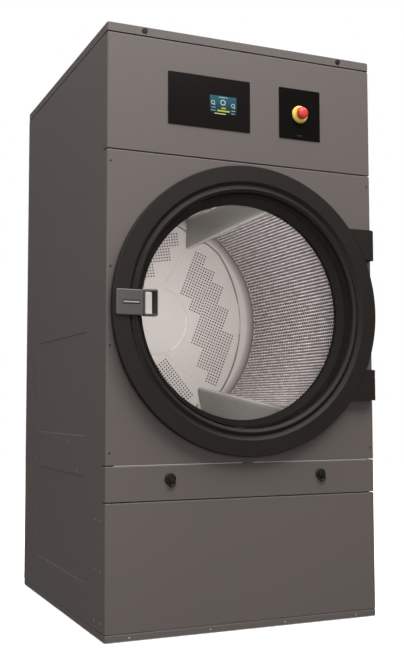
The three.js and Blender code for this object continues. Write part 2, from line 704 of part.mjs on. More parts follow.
// A lifter solid: the section runs the length of the drum, loses height and turns towards the front.
function lifterSolid(angle, inset) {
  const shape = new THREE.Shape();
  LIFTER_SECTION.forEach(([height, width], i) => {
    const method = i ? "lineTo" : "moveTo";
    shape[method](width * (LIFTER_HALF_BASE - inset), height);
  });
  const depth = 1;
  const geometry = new THREE.ExtrudeGeometry(shape, { depth, bevelEnabled: false, steps: 6 });
  const from = DRUM_FRONT + 30 + inset;
  const to = DRUM_BACK - 1 - inset;
  const place = geometry.attributes.position;
  for (let i = 0; i < place.count; i += 1) {
    const t = place.getZ(i);
    const wall = DRUM_RADIUS * Math.cos(Math.PI / ROUND) - CLEAR + (inset ? 3 : 0);
    const tip = THREE.MathUtils.lerp(LIFTER_TIP_FRONT, LIFTER_TIP_BACK, t) + inset;
    const across = place.getX(i);
    const radius = THREE.MathUtils.lerp(Math.sqrt(wall ** 2 - across ** 2), tip, place.getY(i));
    const turn = THREE.MathUtils.degToRad(angle + LIFTER_TWIST * (1 - t));
    const x = radius * Math.cos(turn) + across * Math.sin(turn);
    const z = radius * Math.sin(turn) - across * Math.cos(turn);
    place.setXYZ(i, x, THREE.MathUtils.lerp(from, to, t), z + DRUM_Z);
  }
  return geometry;
}

// A hollow sheet-metal lifter, open where it meets the drum wall.
function drumLifter(angle) {
  return cut(lifterSolid(angle, 0), lifterSolid(angle, 2.5));
}

function drumShaft() {
  const start = DRUM_BACK + 3 + 2 * CLEAR;
  const outline = [
    [0, start], [90, start], [90, start + 8], [30, start + 12], [SHAFT_RADIUS, start + 14],
    [SHAFT_RADIUS, PULLEY_Y + PULLEY_WIDTH + 8], [0, PULLEY_Y + PULLEY_WIDTH + 8],
  ];
  return turned(outline, 0, DRUM_Z, 32);
}

const BEARING_FRONT_Y = BULKHEAD_Y + 12;
const BEARING_REAR_Y = BULKHEAD_Y + 82;

function bearing(y) {
  const inner = SHAFT_RADIUS + 0.1;
  return turned(tubeOutline(inner, BEARING_RADIUS, y, y + BEARING_WIDTH), 0, DRUM_Z, 32);
}

function bearingHousing() {
  const y0 = BULKHEAD_Y + 3 + CLEAR;
  const y1 = BEARING_REAR_Y + BEARING_WIDTH;
  const bore = BEARING_RADIUS + CLEAR;
  const outline = [
    [26, y0], [130, y0], [130, y0 + 9], [70, y0 + 14], [56, y0 + 30], [56, y1], [bore, y1],
    [bore, BEARING_REAR_Y - CLEAR], [30, BEARING_REAR_Y - CLEAR],
    [30, BEARING_FRONT_Y + BEARING_WIDTH + CLEAR], [bore, BEARING_FRONT_Y + BEARING_WIDTH + CLEAR],
    [bore, BEARING_FRONT_Y - CLEAR], [26, BEARING_FRONT_Y - CLEAR],
  ];
  return turned(outline, 0, DRUM_Z, 32);
}

function drumPulley() {
  const y0 = PULLEY_Y;
  const y1 = PULLEY_Y + PULLEY_WIDTH;
  const hub = SHAFT_RADIUS + 0.1;
  const web = (y0 + y1) / 2;
  const outline = [
    [hub, y0], [50, y0], [50, web - 3], [PULLEY_RADIUS - 12, web - 3], [PULLEY_RADIUS - 12, y0],
    [PULLEY_RADIUS, y0], [PULLEY_RADIUS, y1], [PULLEY_RADIUS - 12, y1],
    [PULLEY_RADIUS - 12, web + 3], [50, web + 3], [50, y1], [hub, y1],
  ];
  const holes = [0, 1, 2, 3, 4, 5].map((i) => {
    const angle = (i * Math.PI) / 3;
    const r = (PULLEY_RADIUS + 50) / 2;
    return rodAlongY(70, y0, y1, r * Math.cos(angle), DRUM_Z + r * Math.sin(angle), 16);
  });
  return cut(turned(outline, 0, DRUM_Z, 48), ...holes);
}

// Outline of a belt's inner or outer edge round both pulleys, as points.
function beltLoop(offset) {
  const apart = Math.hypot(MOTOR_X, MOTOR_Z - DRUM_Z);
  const toMotor = Math.atan2(MOTOR_Z - DRUM_Z, MOTOR_X);
  const spread = Math.acos((PULLEY_RADIUS - MOTOR_PULLEY_RADIUS) / apart);
  const points = [];
  const arc = (x, z, radius, from, to, steps) => {
    for (let i = 0; i <= steps; i += 1) {
      const a = from + ((to - from) * i) / steps;
      points.push(new THREE.Vector2(x + radius * Math.cos(a), z + radius * Math.sin(a)));
    }
  };
  const full = 2 * Math.PI;
  arc(MOTOR_X, MOTOR_Z, MOTOR_PULLEY_RADIUS + offset, toMotor - spread, toMotor + spread, 10);
  arc(0, DRUM_Z, PULLEY_RADIUS + offset, toMotor + spread, toMotor - spread + full, 40);
  return points;
}

function driveBelt() {
  const shape = new THREE.Shape(beltLoop(1 + BELT_THICKNESS));
  shape.holes.push(new THREE.Path(beltLoop(1)));
  return deepened(shape, PULLEY_Y + 3, PULLEY_Y + PULLEY_WIDTH - 3);
}

function motorPulley() {
  const y0 = PULLEY_Y;
  const y1 = PULLEY_Y + PULLEY_WIDTH;
  const r = MOTOR_PULLEY_RADIUS;
  const outline = [
    [0, y0 - 40], [9, y0 - 40], [9, y0], [r, y0], [r, y1], [9, y1], [9, y1 + 4], [0, y1 + 4],
  ];
  return turned(outline, MOTOR_X, MOTOR_Z, 32);
}

// The drive motor: a ribbed body with a flange on the bulkhead and a bore for the pulley's shaft.
function driveMotor() {
  const y0 = BULKHEAD_Y + 3 + CLEAR;
  const y1 = PULLEY_Y - 10;
  const boreEnd = y1 - 34;
  const outline = [
    [0, y0], [76, y0], [76, y0 + 6], [62, y0 + 6], [62, y1 - 8], [50, y1],
    [9.5, y1], [9.5, boreEnd], [0, boreEnd],
  ];
  const body = turned(outline, MOTOR_X, MOTOR_Z, 32);
  const terminals = box(MOTOR_X - 30, MOTOR_X + 30, y0 + 20, y1 - 24, MOTOR_Z - 84, MOTOR_Z - 50);
  return join(body, terminals);
}

function addDrum() {
  add("drum_shell", drumShell(), stainless);
  add("drum_back_plate", drumBackPlate(), stainless);
  for (let i = 0; i < LIFTER_COUNT; i += 1) {
    add(`drum_lifter_${i + 1}`, drumLifter(LIFTER_ANGLE - (360 / LIFTER_COUNT) * i), stainless);
  }
  add("drum_shaft", drumShaft(), machinedSteel);
  add("bearing_front", bearing(BEARING_FRONT_Y), machinedSteel);
  add("bearing_rear", bearing(BEARING_REAR_Y), machinedSteel);
  add("bearing_housing", bearingHousing(), castIron);
  add("drum_pulley", drumPulley(), aluminium);
  add("drive_belt", driveBelt(), blackRubber);
  add("motor_pulley", motorPulley(), machinedSteel);
  add("drive_motor", driveMotor(), castIron);
}

// ---------------------------------------------------------------- exhaust fan
// The scroll's outline in Y and Z: a spiral that opens into a straight duct along +Y at the bottom.
function scrollOutline(inset, outletEnd) {
  const start = -Math.PI / 3;
  const end = 1.5 * Math.PI;
  const points = [];
  const steps = 28;
  for (let i = 0; i <= steps; i += 1) {
    const a = start + ((end - start) * i) / steps;
    const r = SCROLL_START + ((SCROLL_END - SCROLL_START) * i) / steps - inset;
    points.push(new THREE.Vector2(FAN_Y + r * Math.cos(a), FAN_Z + r * Math.sin(a)));
  }
  const floor = FAN_Z - SCROLL_END + inset;
  points.push(new THREE.Vector2(outletEnd, floor), new THREE.Vector2(outletEnd, points[0].y));
  return new THREE.Shape(points);
}

function fanHousing() {
  const w = FAN_HALF_WIDTH;
  const outer = widened(scrollOutline(0, OUTLET_Y), -w, w);
  const inner = widened(scrollOutline(2, OUTLET_Y + 5), -w + 2, w - 2);
  const eye = alongX(rodOutline(95, w - 3, w + 1), FAN_Y, FAN_Z, 32);
  const shaftHole = alongX(rodOutline(14, -w - 1, -w + 3), FAN_Y, FAN_Z);
  const foot = box(-w, w, FAN_Y - 60, FAN_Y + 60, PLINTH_TOP + CLEAR, FAN_Z - SCROLL_END + 6);
  return cut(join(outer, foot), inner, eye, shaftHole);
}

function fanWheel() {
  const disc = alongX(rodOutline(WHEEL_RADIUS, -50, -47), FAN_Y, FAN_Z, 32);
  const hub = alongX(rodOutline(24, -50, -10), FAN_Y, FAN_Z);
  const shroud = alongX(tubeOutline(100, WHEEL_RADIUS, 47, 50), FAN_Y, FAN_Z, 32);
  const blades = [];
  const count = 10;
  for (let i = 0; i < count; i += 1) {
    const blade = box(-48, 48, 98, WHEEL_RADIUS - 2, -1.5, 1.5);
    const lean = new THREE.Matrix4().makeRotationX((i * 2 * Math.PI) / count);
    blades.push(blade.applyMatrix4(lean).translate(0, FAN_Y, FAN_Z));
  }
  const shaft = alongX(rodOutline(8, -130, -49), FAN_Y, FAN_Z, 16);
  return join(disc, hub, shroud, shaft, ...blades);
}

function fanMotor() {
  const outline = [
    [0, -230], [60, -230], [70, -220], [70, -84], [50, -74], [8.5, -74], [8.5, -134], [0, -134],
  ];
  const body = alongX(outline, FAN_Y, FAN_Z, 28);
  const stand = box(-210, -100, FAN_Y - 50, FAN_Y + 50, PLINTH_TOP + CLEAR, FAN_Z - 40);
  const space = box(-204, -106, FAN_Y - 44, FAN_Y + 44, PLINTH_TOP + 4, FAN_Z - 74);
  const side = box(-220, -90, FAN_Y - 44, FAN_Y + 44, PLINTH_TOP + 30, FAN_Z - 90);
  return join(cut(stand, space, side, alongX(rodOutline(66, -240, -70), FAN_Y, FAN_Z, 28)), body);
}

// The round spigot behind the machine that the exhaust duct slides over.
function exhaustCollar() {
  const y0 = OUTLET_Y + CLEAR;
  const half = COLLAR_RADIUS + 2;
  const flange = box(-half, half, y0, y0 + 3, OUTLET_Z - half, OUTLET_Z + half);
  const outline = tubeOutline(COLLAR_RADIUS - 4, COLLAR_RADIUS, y0, DEPTH + OVERHANG);
  const bore = rodAlongY(COLLAR_RADIUS - 4, y0 - 1, y0 + 4, 0, OUTLET_Z, 40);
  return cut(join(flange, turned(outline, 0, OUTLET_Z, 40)), bore);
}

function addExhaust() {
  add("fan_housing", fanHousing(), galvanised);
  add("fan_wheel", fanWheel(), aluminium);
  add("fan_motor", fanMotor(), castIron);
  add("exhaust_collar", exhaustCollar(), galvanised);
}

addBase();
addPanels();
addControls();
addLintDrawer();
addStructure();
addDoor();
addDrum();
addExhaust();

export default machine;
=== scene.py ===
import math

import bmesh
import bpy
from mathutils import Matrix, Vector
from mathutils.geometry import tessellate_polygon


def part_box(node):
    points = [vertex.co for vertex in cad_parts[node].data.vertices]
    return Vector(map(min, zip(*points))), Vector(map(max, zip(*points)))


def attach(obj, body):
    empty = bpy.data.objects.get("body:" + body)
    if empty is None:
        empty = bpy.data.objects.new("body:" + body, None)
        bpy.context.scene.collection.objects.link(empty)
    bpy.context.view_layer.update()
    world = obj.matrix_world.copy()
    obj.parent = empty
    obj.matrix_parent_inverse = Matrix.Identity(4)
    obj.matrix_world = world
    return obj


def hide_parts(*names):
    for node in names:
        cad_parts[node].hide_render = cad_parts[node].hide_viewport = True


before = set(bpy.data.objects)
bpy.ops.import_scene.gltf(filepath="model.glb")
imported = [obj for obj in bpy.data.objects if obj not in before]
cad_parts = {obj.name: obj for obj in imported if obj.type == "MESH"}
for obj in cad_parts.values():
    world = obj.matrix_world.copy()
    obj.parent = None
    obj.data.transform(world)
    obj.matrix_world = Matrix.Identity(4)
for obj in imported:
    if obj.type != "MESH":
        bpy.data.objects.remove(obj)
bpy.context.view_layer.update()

# Lengths below are in millimetres from the machine's middle, its front plane and the floor, unless a comment
# says otherwise. P() turns them to metres.
MM = 0.001
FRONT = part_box("door_panel")[0].y
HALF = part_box("door_panel")[1].x / MM
DEPTH = (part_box("top_lid")[1].y - FRONT) / MM
TAU = 2 * math.pi


def P(x, y, z):
    return Vector((x * MM, FRONT + y * MM, z * MM))


def span(node):
    """A CAD node's box as (x0, y0, z0, x1, y1, z1), in millimetres in the machine's coordinates."""
    lo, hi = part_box(node)
    return (
        lo.x / MM, (lo.y - FRONT) / MM, lo.z / MM,
        hi.x / MM, (hi.y - FRONT) / MM, hi.z / MM,
    )


def middle(node):
    b = span(node)
    return [(b[i] + b[i + 3]) / 2 for i in range(3)]


DOOR_X, _, DOOR_Z = middle("door_ring")
DOOR_R = (span("door_ring")[3] - span("door_ring")[0]) / 2
DOOR_FACE = span("door_ring")[1]
DRUM_X, _, DRUM_Z = middle("drum_shell")
DRUM_R = (span("drum_shell")[3] - span("drum_shell")[0]) / 2 - 2
DRUM_Y0, DRUM_Y1 = span("drum_shell")[1], span("drum_shell")[4]
RIDGE = 2.0  # how far the beads between the rows of slots stand into the drum


# ------------------------------------------------------------------ materials
def linear(value):
    """One 8-bit colour value as linear light."""
    value /= 255
    return value / 12.92 if value <= 0.04045 else ((value + 0.055) / 1.055) ** 2.4


def rgb(r, g, b):
    return (linear(r), linear(g), linear(b), 1)


class Nodes:
    """The node tree of a new material, or of the world, with short calls for the nodes used here."""

    def __init__(self, name, blocks=bpy.data.materials):
        self.block = blocks.new(name)
        self.block.use_nodes = True
        self.tree = self.block.node_tree
        self.coords = self.add("TexCoord").outputs
        self.place = self.coords["Object"]

    def feed(self, node, inputs):
        """Links a node's inputs to sockets, or sets them to values."""
        for key, value in inputs.items():
            if isinstance(value, bpy.types.NodeSocket):
                self.tree.links.new(value, node.inputs[key])
            else:
                node.inputs[key].default_value = value

    def look(self, inputs):
        self.feed(self.tree.nodes["Principled BSDF"], inputs)

    def add(self, kind, inputs=None, **values):
        node = self.tree.nodes.new("ShaderNode" + kind)
        for key, value in values.items():
            setattr(node, key, value)
        self.feed(node, inputs or {})
        return node

    def noise(self, scale, detail=2.0, stretch=None):
        place = self.place
        if stretch:
            place = self.add("Mapping", {"Scale": stretch, "Vector": place}).outputs["Vector"]
        return self.add("TexNoise", {"Scale": scale, "Detail": detail, "Vector": place}).outputs["Fac"]

    def ramp(self, value, first, last, low=0.0, high=1.0):
        """low where the value is first, high where it is last."""
        inputs = {"Value": value, "From Min": first, "From Max": last, "To Min": low, "To Max": high}
        return self.add("MapRange", inputs).outputs["Result"]

    def spread(self, value, low, high):
        """A noise's usual range, spread from low to high."""
        return self.ramp(value, 0.3, 0.7, low, high)

    def blend(self, value, first, second):
        return self.add("Mix", {0: value, 6: first, 7: second}, data_type="RGBA").outputs[2]

    def mix(self, value, first, second, output):
        """Two shaders mixed, as the output of the tree."""
        mixed = self.add("MixShader", {0: value, 1: first.outputs[0], 2: second.outputs[0]})
        self.feed(self.tree.nodes[output], {"Surface": mixed.outputs[0]})

    def bump(self, value, strength, depth):
        bump = self.add("Bump", {"Strength": strength, "Distance": depth, "Height": value})
        self.look({"Normal": bump.outputs["Normal"]})

    def grain(self, scale, low, high, strength, depth, stretch=None):
        """A fine grain in the roughness, from low to high, and in the surface."""
        fine = self.noise(scale, 2, stretch)
        self.look({"Roughness": self.spread(fine, low, high)})
        self.bump(fine, strength, depth)

    def vector(self, operation, inputs):
        return self.add("VectorMath", inputs, operation=operation).outputs

    def from_axis(self, centre):
        """The distance from an axis along Y through a point, for every point of the surface, in metres."""
        away = self.vector("SUBTRACT", {0: self.place, 1: centre})["Vector"]
        flat = self.vector("MULTIPLY", {0: away, 1: (1, 0, 1)})["Vector"]
        return self.vector("LENGTH", {0: flat})["Value"]


ALONG_DRUM = (1, 0.06, 1)  # stretches the grain along the drum's axis


def shade(colour, factor):
    """A colour made lighter or darker."""
    return (colour[0] * factor, colour[1] * factor, colour[2] * factor, 1)


def surface(name, colour, rough, metal=0.0, grain=900, depth=0.00004, strength=0.35, vary=0.04,
            rough_vary=0.04, mottle=3.0, stretch=None, specular=0.5):
    """A plain material: faint mottling of the colour, and a fine grain in the roughness and the surface."""
    n = Nodes(name)
    wide = n.spread(n.noise(mottle, 3), 0, 1)
    tone = n.blend(wide, shade(colour, 1 - vary), shade(colour, 1 + vary))
    n.look({"Metallic": metal, "Specular IOR Level": specular, "Base Color": tone})
    n.grain(grain, rough - rough_vary, rough + rough_vary, strength, depth, stretch)
    return n.block


def spangled(name, colour, rough):
    """Galvanised sheet: small crystals of slightly different brightness."""
    n = Nodes(name)
    cells = n.add("TexVoronoi", {"Scale": 130, "Vector": n.place}).outputs["Color"]
    tone = n.add("SeparateColor", {"Color": cells}).outputs
    n.look({
        "Metallic": 0.85,
        "Base Color": n.blend(tone[0], shade(colour, 0.9), shade(colour, 1.05)),
        "Roughness": n.spread(tone[1], rough - 0.06, rough + 0.08),
    })
    n.bump(n.noise(400), 0.15, 0.00003)
    return n.block


def window_glass(name):
    """Clear glass, which lets the light from the drum through and mirrors the room a little."""
    n = Nodes(name)
    clear = n.add("BsdfTransparent", {"Color": (0.95, 0.942, 0.936, 1)})
    gloss = n.add("BsdfGlossy", {"Roughness": n.spread(n.noise(6), 0.01, 0.03)})
    n.mix(n.add("Fresnel", {"IOR": 1.45}).outputs["Fac"], clear, gloss, "Material Output")
    n.tree.nodes.remove(n.tree.nodes["Principled BSDF"])
    return n.block


def streaked_with_bead_light(name, colour, centre, valley, crest):
    """Perforated stainless sheet: painted shade in the valleys between its beads, a painted highlight along
    their crests, and short streaks along the drum.
    """
    n = Nodes(name)
    height = n.ramp(n.from_axis(centre), valley, crest)
    beads = n.blend(height, shade(colour, 0.12), shade(colour, 1.25))
    streaks = n.spread(n.noise(150, 1, (1, 0.2, 1)), 0.66, 1.3)
    n.look({"Metallic": 0.3, "Base Color": n.vector("SCALE", {0: beads, "Scale": streaks})["Vector"]})
    n.grain(260, 0.26, 0.42, 0.15, 0.00002, ALONG_DRUM)
    return n.block


def radially_shaded(name, near, far, inner, outer, centre):
    """Rolled sheet with painted shade: its tone runs from near to far with the distance from the axis, in
    metres.
    """
    n = Nodes(name)
    n.look({"Metallic": 0.3, "Base Color": n.blend(n.ramp(n.from_axis(centre), inner, outer), near, far)})
    n.grain(260, 0.36, 0.48, 0.15, 0.00002)
    return n.block


def glowing(name, low, high, z0, z1, strength=1.0, rough=0.15):
    """A colour that runs from low to high between two heights in millimetres, lit from within or not."""
    n = Nodes(name)
    level = n.add("SeparateXYZ", {"Vector": n.place}).outputs["Z"]
    colour = n.blend(n.ramp(level, z0 * MM, z1 * MM), low, high)
    n.look({
        "Base Color": colour, "Emission Color": colour, "Emission Strength": strength,
        "Roughness": n.spread(n.noise(700), rough * 0.92, rough * 1.08),
    })
    return n.block


POLISHED = {"grain": 500, "depth": 0.00001, "strength": 0.1}
BRUSHED = {"grain": 260, "depth": 0.00002, "strength": 0.15}
ROLLED = {**BRUSHED, "stretch": ALONG_DRUM}

PAINT = surface("cabinet_paint", rgb(96, 89, 86), 0.5, grain=1100, depth=0.00003, vary=0.02, mottle=1.5,
                specular=0.3)
EDGE_HIGHLIGHT_PAINT = surface("drawer_edge_highlight", rgb(186, 180, 176), 0.4, grain=900, vary=0.03)
PLASTIC = surface("ring_plastic", rgb(32, 28, 25), 0.52, grain=1500, depth=0.00005, strength=0.5, vary=0.05,
                  mottle=5, specular=0.2)
BLACK = surface("gloss_black", rgb(24, 20, 19), 0.2, **POLISHED, rough_vary=0.03, specular=0.12)
BLACK_DEEP = surface("deep_black", rgb(17, 15, 14), 0.25, **POLISHED, specular=0.06)
BLACK_MATT = surface("matt_black", rgb(22, 20, 19), 0.5, grain=1200, specular=0.3)
RUBBER = surface("black_rubber", rgb(24, 23, 22), 0.75, grain=1800, depth=0.00006, strength=0.5)
STAINLESS = surface("drum_stainless", rgb(214, 208, 204), 0.46, 0.25, **ROLLED, vary=0.03, rough_vary=0.08)
GROOVE_SHADE_STEEL = surface("groove_shade_stainless", rgb(138, 130, 125), 0.5, 0.25, **BRUSHED)
HUB_HIGHLIGHT_STEEL = surface("hub_highlight_stainless", rgb(236, 232, 228), 0.3, 0.1, **BRUSHED)
# a dark sheet put behind holes and gaps, where the machine's inside lies in shade: painted shade
SHADE_BACKING = surface("shade_backing", rgb(24, 21, 20), 0.8, grain=500, specular=0.1)
LIFTER = surface("lifter_stainless", rgb(148, 147, 143), 0.4, 0.4, **ROLLED, rough_vary=0.08)
CREST_HIGHLIGHT = surface("crest_highlight_stainless", rgb(190, 186, 182), 0.32, 0.4, **ROLLED, rough_vary=0.06)
LATCH = surface("latch_metal", rgb(86, 83, 80), 0.42, 0.3, grain=1000, vary=0.02)
LATCH_DARK = surface("latch_badge", rgb(46, 41, 39), 0.3, 0.1, grain=900)
LATCH_SHADE = surface("latch_shade", rgb(62, 58, 55), 0.5, 0.2, grain=900)
STEEL = surface("machined_steel", rgb(170, 168, 165), 0.3, 0.95, grain=300, stretch=(1, 8, 1))
IRON = surface("cast_iron", rgb(62, 61, 60), 0.6, 0.3, grain=700, depth=0.0002, strength=0.4)
ALUMINIUM = surface("cast_aluminium", rgb(190, 191, 193), 0.38, 0.9, grain=600, depth=0.0001)
RED = surface("stop_red", rgb(208, 58, 54), 0.36, grain=900, specular=0.4, vary=0.03)
YELLOW = surface("stop_yellow", rgb(222, 198, 92), 0.46, grain=900, vary=0.03)
SCREW = surface("screw_steel", rgb(176, 171, 166), 0.36, 0.5, grain=1500)
SCREW_DARK = surface("screw_black", rgb(34, 31, 30), 0.4, 0.3, grain=1500)
MARK = surface("grey_mark", rgb(58, 55, 53), 0.4, grain=1200)
STRIPE = surface("pale_stripe", rgb(158, 156, 152), 0.4, grain=1200)
GALVANISED = spangled("galvanised_sheet", rgb(176, 174, 170), 0.38)
GLASS = window_glass("window_glass")
# the drum wall: painted shade between the beads and a painted highlight on their crests
WALL_STEEL = streaked_with_bead_light("wall_stainless", rgb(226, 217, 217), P(DRUM_X, 0, DRUM_Z), (DRUM_R - 0.2) * MM,
                      (DRUM_R - RIDGE * 0.75) * MM)
# the back plate's rolled rim darkens towards the drum's wall: painted shade
RIM_STEEL = radially_shaded("rim_stainless", rgb(196, 190, 187), rgb(118, 112, 109), (DRUM_R - 34) * MM, DRUM_R * MM,
                   P(DRUM_X, 0, DRUM_Z))
# the door's inner cone runs from dark at the bottom to lighter at the top: painted light and shade
CONE_PAINTED_LIGHT = glowing("cone_plastic", rgb(9, 8, 7), rgb(50, 45, 40), DOOR_Z - 390, DOOR_Z + 390, 0.0, 0.6)
CONE_PAINTED_LIGHT.node_tree.nodes["Principled BSDF"].inputs["Specular IOR Level"].default_value = 0.08


# ------------------------------------------------------------------ mesh tools
def new_object(name, bm, material, body, replaces=(), angle=32, more=()):
    """Makes a piece of a bmesh, on the body that it moves with, in place of CAD nodes or as an addition to
    them. It is smooth, but for the edges that are sharper than the angle in degrees. Faces with a
    material_index above 0 have the materials in more."""
    bmesh.ops.recalc_face_normals(bm, faces=bm.faces)
    limit = math.radians(angle)
    for face in bm.faces:
        face.smooth = True
    for edge in bm.edges:
        if len(edge.link_faces) == 2 and edge.calc_face_angle(0) > limit:
            edge.smooth = False
    mesh = bpy.data.meshes.new(name)
    bm.to_mesh(mesh)
    bm.free()
    for every in (material, *more):
        mesh.materials.append(every)
    obj = bpy.data.objects.new(name, mesh)
    bpy.context.scene.collection.objects.link(obj)
    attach(obj, body)
    if replaces:
        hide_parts(*replaces)
    flat = obj.modifiers.new("flat_faces", "WEIGHTED_NORMAL")
    flat.keep_sharp = True
    flat.weight = 100


def loop_verts(bm, points):
    return [bm.verts.new(p) for p in points]


def bridge(bm, first, second, closed=True):
    """Faces between two rings of the same number of vertices."""
    count = len(first)
    for i in range(count if closed else count - 1):
        j = (i + 1) % count
        corners = [first[i], first[j], second[j], second[i]]
        unique = list(dict.fromkeys(corners))
        if len(unique) > 2:
            bm.faces.new(unique)


def skin(bm, rings):
    for first, second in zip(rings, rings[1:]):
        bridge(bm, first, second)


def fillet(points, steps=4):
    """Rounds the corners of a closed outline. Each point is (a, b) or (a, b, radius)."""
    result = []
    count = len(points)
    for i, point in enumerate(points):
        here = Vector(point[:2])
        radius = point[2] if len(point) > 2 else 0
        before = Vector(points[i - 1][:2]) - here
        after = Vector(points[(i + 1) % count][:2]) - here
        if radius <= 0 or before.length < 1e-6 or after.length < 1e-6:
            result.append(tuple(here))
            continue
        angle = before.angle(after)
        if angle > math.pi - 0.02:
            result.append(tuple(here))
            continue
        reach = min(radius / math.tan(angle / 2), before.length * 0.49, after.length * 0.49)
        radius = reach * math.tan(angle / 2)
        bisector = (before.normalized() + after.normalized()).normalized()
        centre = here + bisector * (radius / math.sin(angle / 2))
        start = here + before.normalized() * reach - centre
        sweep = start.angle_signed(here + after.normalized() * reach - centre)
        for k in range(steps + 1):
            turn = -sweep * k / steps
            c, s = math.cos(turn), math.sin(turn)
            result.append((centre.x + start.x * c - start.y * s, centre.y + start.x * s + start.y * c))
    return result


def revolve(bm, outline, at, segments):
    """Turns an outline of (radius, level) about an axis, closed on itself or on the axis. at(a, b, level)
    gives a point, for a and b measured from the axis."""
    rings = []
    turns = [(math.cos(TAU * k / segments), math.sin(TAU * k / segments)) for k in range(segments)]
    for radius, level in outline:
        if radius < 1e-6:
            rings.append([bm.verts.new(at(0, 0, level))] * segments)
        else:
            rings.append(loop_verts(bm, [at(radius * c, radius * s, level) for c, s in turns]))
    on_axis = outline[0][0] < 1e-6
    skin(bm, rings if on_axis else rings + rings[:1])


def lathe(bm, outline, x, z, segments=128):
    """Turns an outline of (radius, y) about the axis along Y through x, z."""
    revolve(bm, outline, lambda a, b, y: P(x + a, y, z + b), segments)


def lathe_up(bm, outline, x, y, segments=32):
    """Turns an outline of (radius, z) about the axis along Z through x, y."""
    revolve(bm, outline, lambda a, b, z: P(x + a, y + b, z), segments)


def rounded_rect(x0, x1, z0, z1, radius, steps=6):
    """A function of an inset, which gives the outline of a rectangle with round corners."""
    def outline(inset=0.0):
        r = max(radius - inset, 0.05)
        a, b, c, d = x0 + inset + r, x1 - inset - r, z0 + inset + r, z1 - inset - r
        points = []
        for cx, cz, start in ((a, c, math.pi), (b, c, 1.5 * math.pi), (b, d, 0), (a, d, 0.5 * math.pi)):
            for k in range(steps + 1):
                t = start + 0.5 * math.pi * k / steps
                points.append((cx + r * math.cos(t), cz + r * math.sin(t)))
        return points
    return outline


def sharp_rect(x0, x1, z0, z1):
    """The same for a rectangle with sharp corners."""
    def outline(inset=0.0):
        a, b, c, d = x0 + inset, x1 - inset, z0 + inset, z1 - inset
        return [(a, c), (b, c), (b, d), (a, d)]
    return outline


def circle(x, z, radius, count=64):
    """The same for a circle."""
    def outline(inset=0.0):
        r = radius - inset
        return [(x + r * math.cos(TAU * k / count), z + r * math.sin(TAU * k / count)) for k in range(count)]
    return outline


def facing(y, into=1):
    """For relief(): depth runs into the machine from a plane at y that faces forward, or backward for -1."""
    return lambda u, v, depth: P(u, y + into * depth, v)


def fill(bm, *loops):
    """Triangles inside the first loop of vertices and outside the others."""
    every = [v for loop in loops for v in loop]
    for a, b, c in tessellate_polygon([[v.co for v in loop] for loop in loops]):
        try:
            bm.faces.new((every[a], every[b], every[c]))
        except ValueError:
            pass


def relief(bm, where, outer, holes=(), thickness=None):
    """A flat plate with stepped borders. where(u, v, depth) gives a point. The first item of outer, and of
    each hole, is an outline function, and the second is a list of (inset, depth). A hole's third item is True
    for a floor."""
    def loops(outline, steps):
        return [loop_verts(bm, [where(u, v, depth) for u, v in outline(inset)]) for inset, depth in steps]

    outside = loops(*outer)
    cuts = [(loops(hole[0], hole[1]), hole[2]) for hole in holes]
    fill(bm, outside[0], *[rings[0] for rings, _ in cuts])
    for rings in [outside, *[rings for rings, _ in cuts]]:
        skin(bm, rings)
    for rings, floor in cuts:
        if floor:
            bm.faces.new(rings[-1])
    if thickness is not None:
        fill(bm, outside[-1], *[rings[-1] for rings, floor in cuts if not floor])


def stack(bm, plan, levels):
    """Skins an outline function's plan through levels of (inset, height), and gives the rings."""
    rings = [loop_verts(bm, [P(u, v, z) for u, v in plan(inset)]) for inset, z in levels]
    skin(bm, rings)
    return rings


def upright(a, b, level):
    return P(a, level, b)


def solid_prism(bm, points, low, high, where=upright):
    """A closed outline extruded between two levels: where(a, b, level) gives a point."""
    bottom = loop_verts(bm, [where(a, b, low) for a, b in points])
    top = loop_verts(bm, [where(a, b, high) for a, b in points])
    bridge(bm, bottom, top)
    bm.faces.new(bottom)
    bm.faces.new(top)


def block(bm, x0, x1, y0, y1, z0, z1):
    """An upright box."""
    solid_prism(bm, sharp_rect(x0, x1, y0, y1)(), z0, z1, P)


def boolean(bm, tools):
    """bm with the tools cut from it, as a new bmesh."""
    objects = []
    for part in [bm, *tools]:
        bmesh.ops.recalc_face_normals(part, faces=part.faces)
        mesh = bpy.data.meshes.new("tool")
        part.to_mesh(mesh)
        part.free()
        objects.append(bpy.data.objects.new("tool", mesh))
        bpy.context.scene.collection.objects.link(objects[-1])
    for tool in objects[1:]:
        modifier = objects[0].modifiers.new("cut", "BOOLEAN")
        modifier.operation = "DIFFERENCE"
        modifier.solver = "EXACT"
        modifier.object = tool
    cut = objects[0].evaluated_get(bpy.context.evaluated_depsgraph_get())
    result = bmesh.new()
    result.from_mesh(cut.to_mesh())
    cut.to_mesh_clear()
    for mesh in [obj.data for obj in objects]:
        bpy.data.meshes.remove(mesh)
    return result


def soften(bm, width, segments=2, angle=40, chosen=None):
    """Bevels the sharp edges, or those that chosen(edge) accepts."""
    limit = math.radians(angle)
    edges = [e for e in bm.edges if len(e.link_faces) == 2 and e.calc_face_angle(0) > limit]
    if chosen:
        edges = [e for e in edges if chosen(e)]
    bmesh.ops.bevel(
        bm, geom=edges, offset=width * MM, segments=segments, profile=0.5, affect="EDGES", clamp_overlap=True,
    )


def cylinder(x, z, radius, y0, y1, segments=64):
    """A cylinder along Y, as a bmesh."""
    bm = bmesh.new()
    lathe(bm, [(0, y0), (radius, y0), (radius, y1), (0, y1)], x, z, segments)
    return bm


def box_tool(x0, x1, y0, y1, z0, z1):
    bm = bmesh.new()
    solid_prism(bm, sharp_rect(x0, x1, z0, z1)(), y0, y1)
    return bm


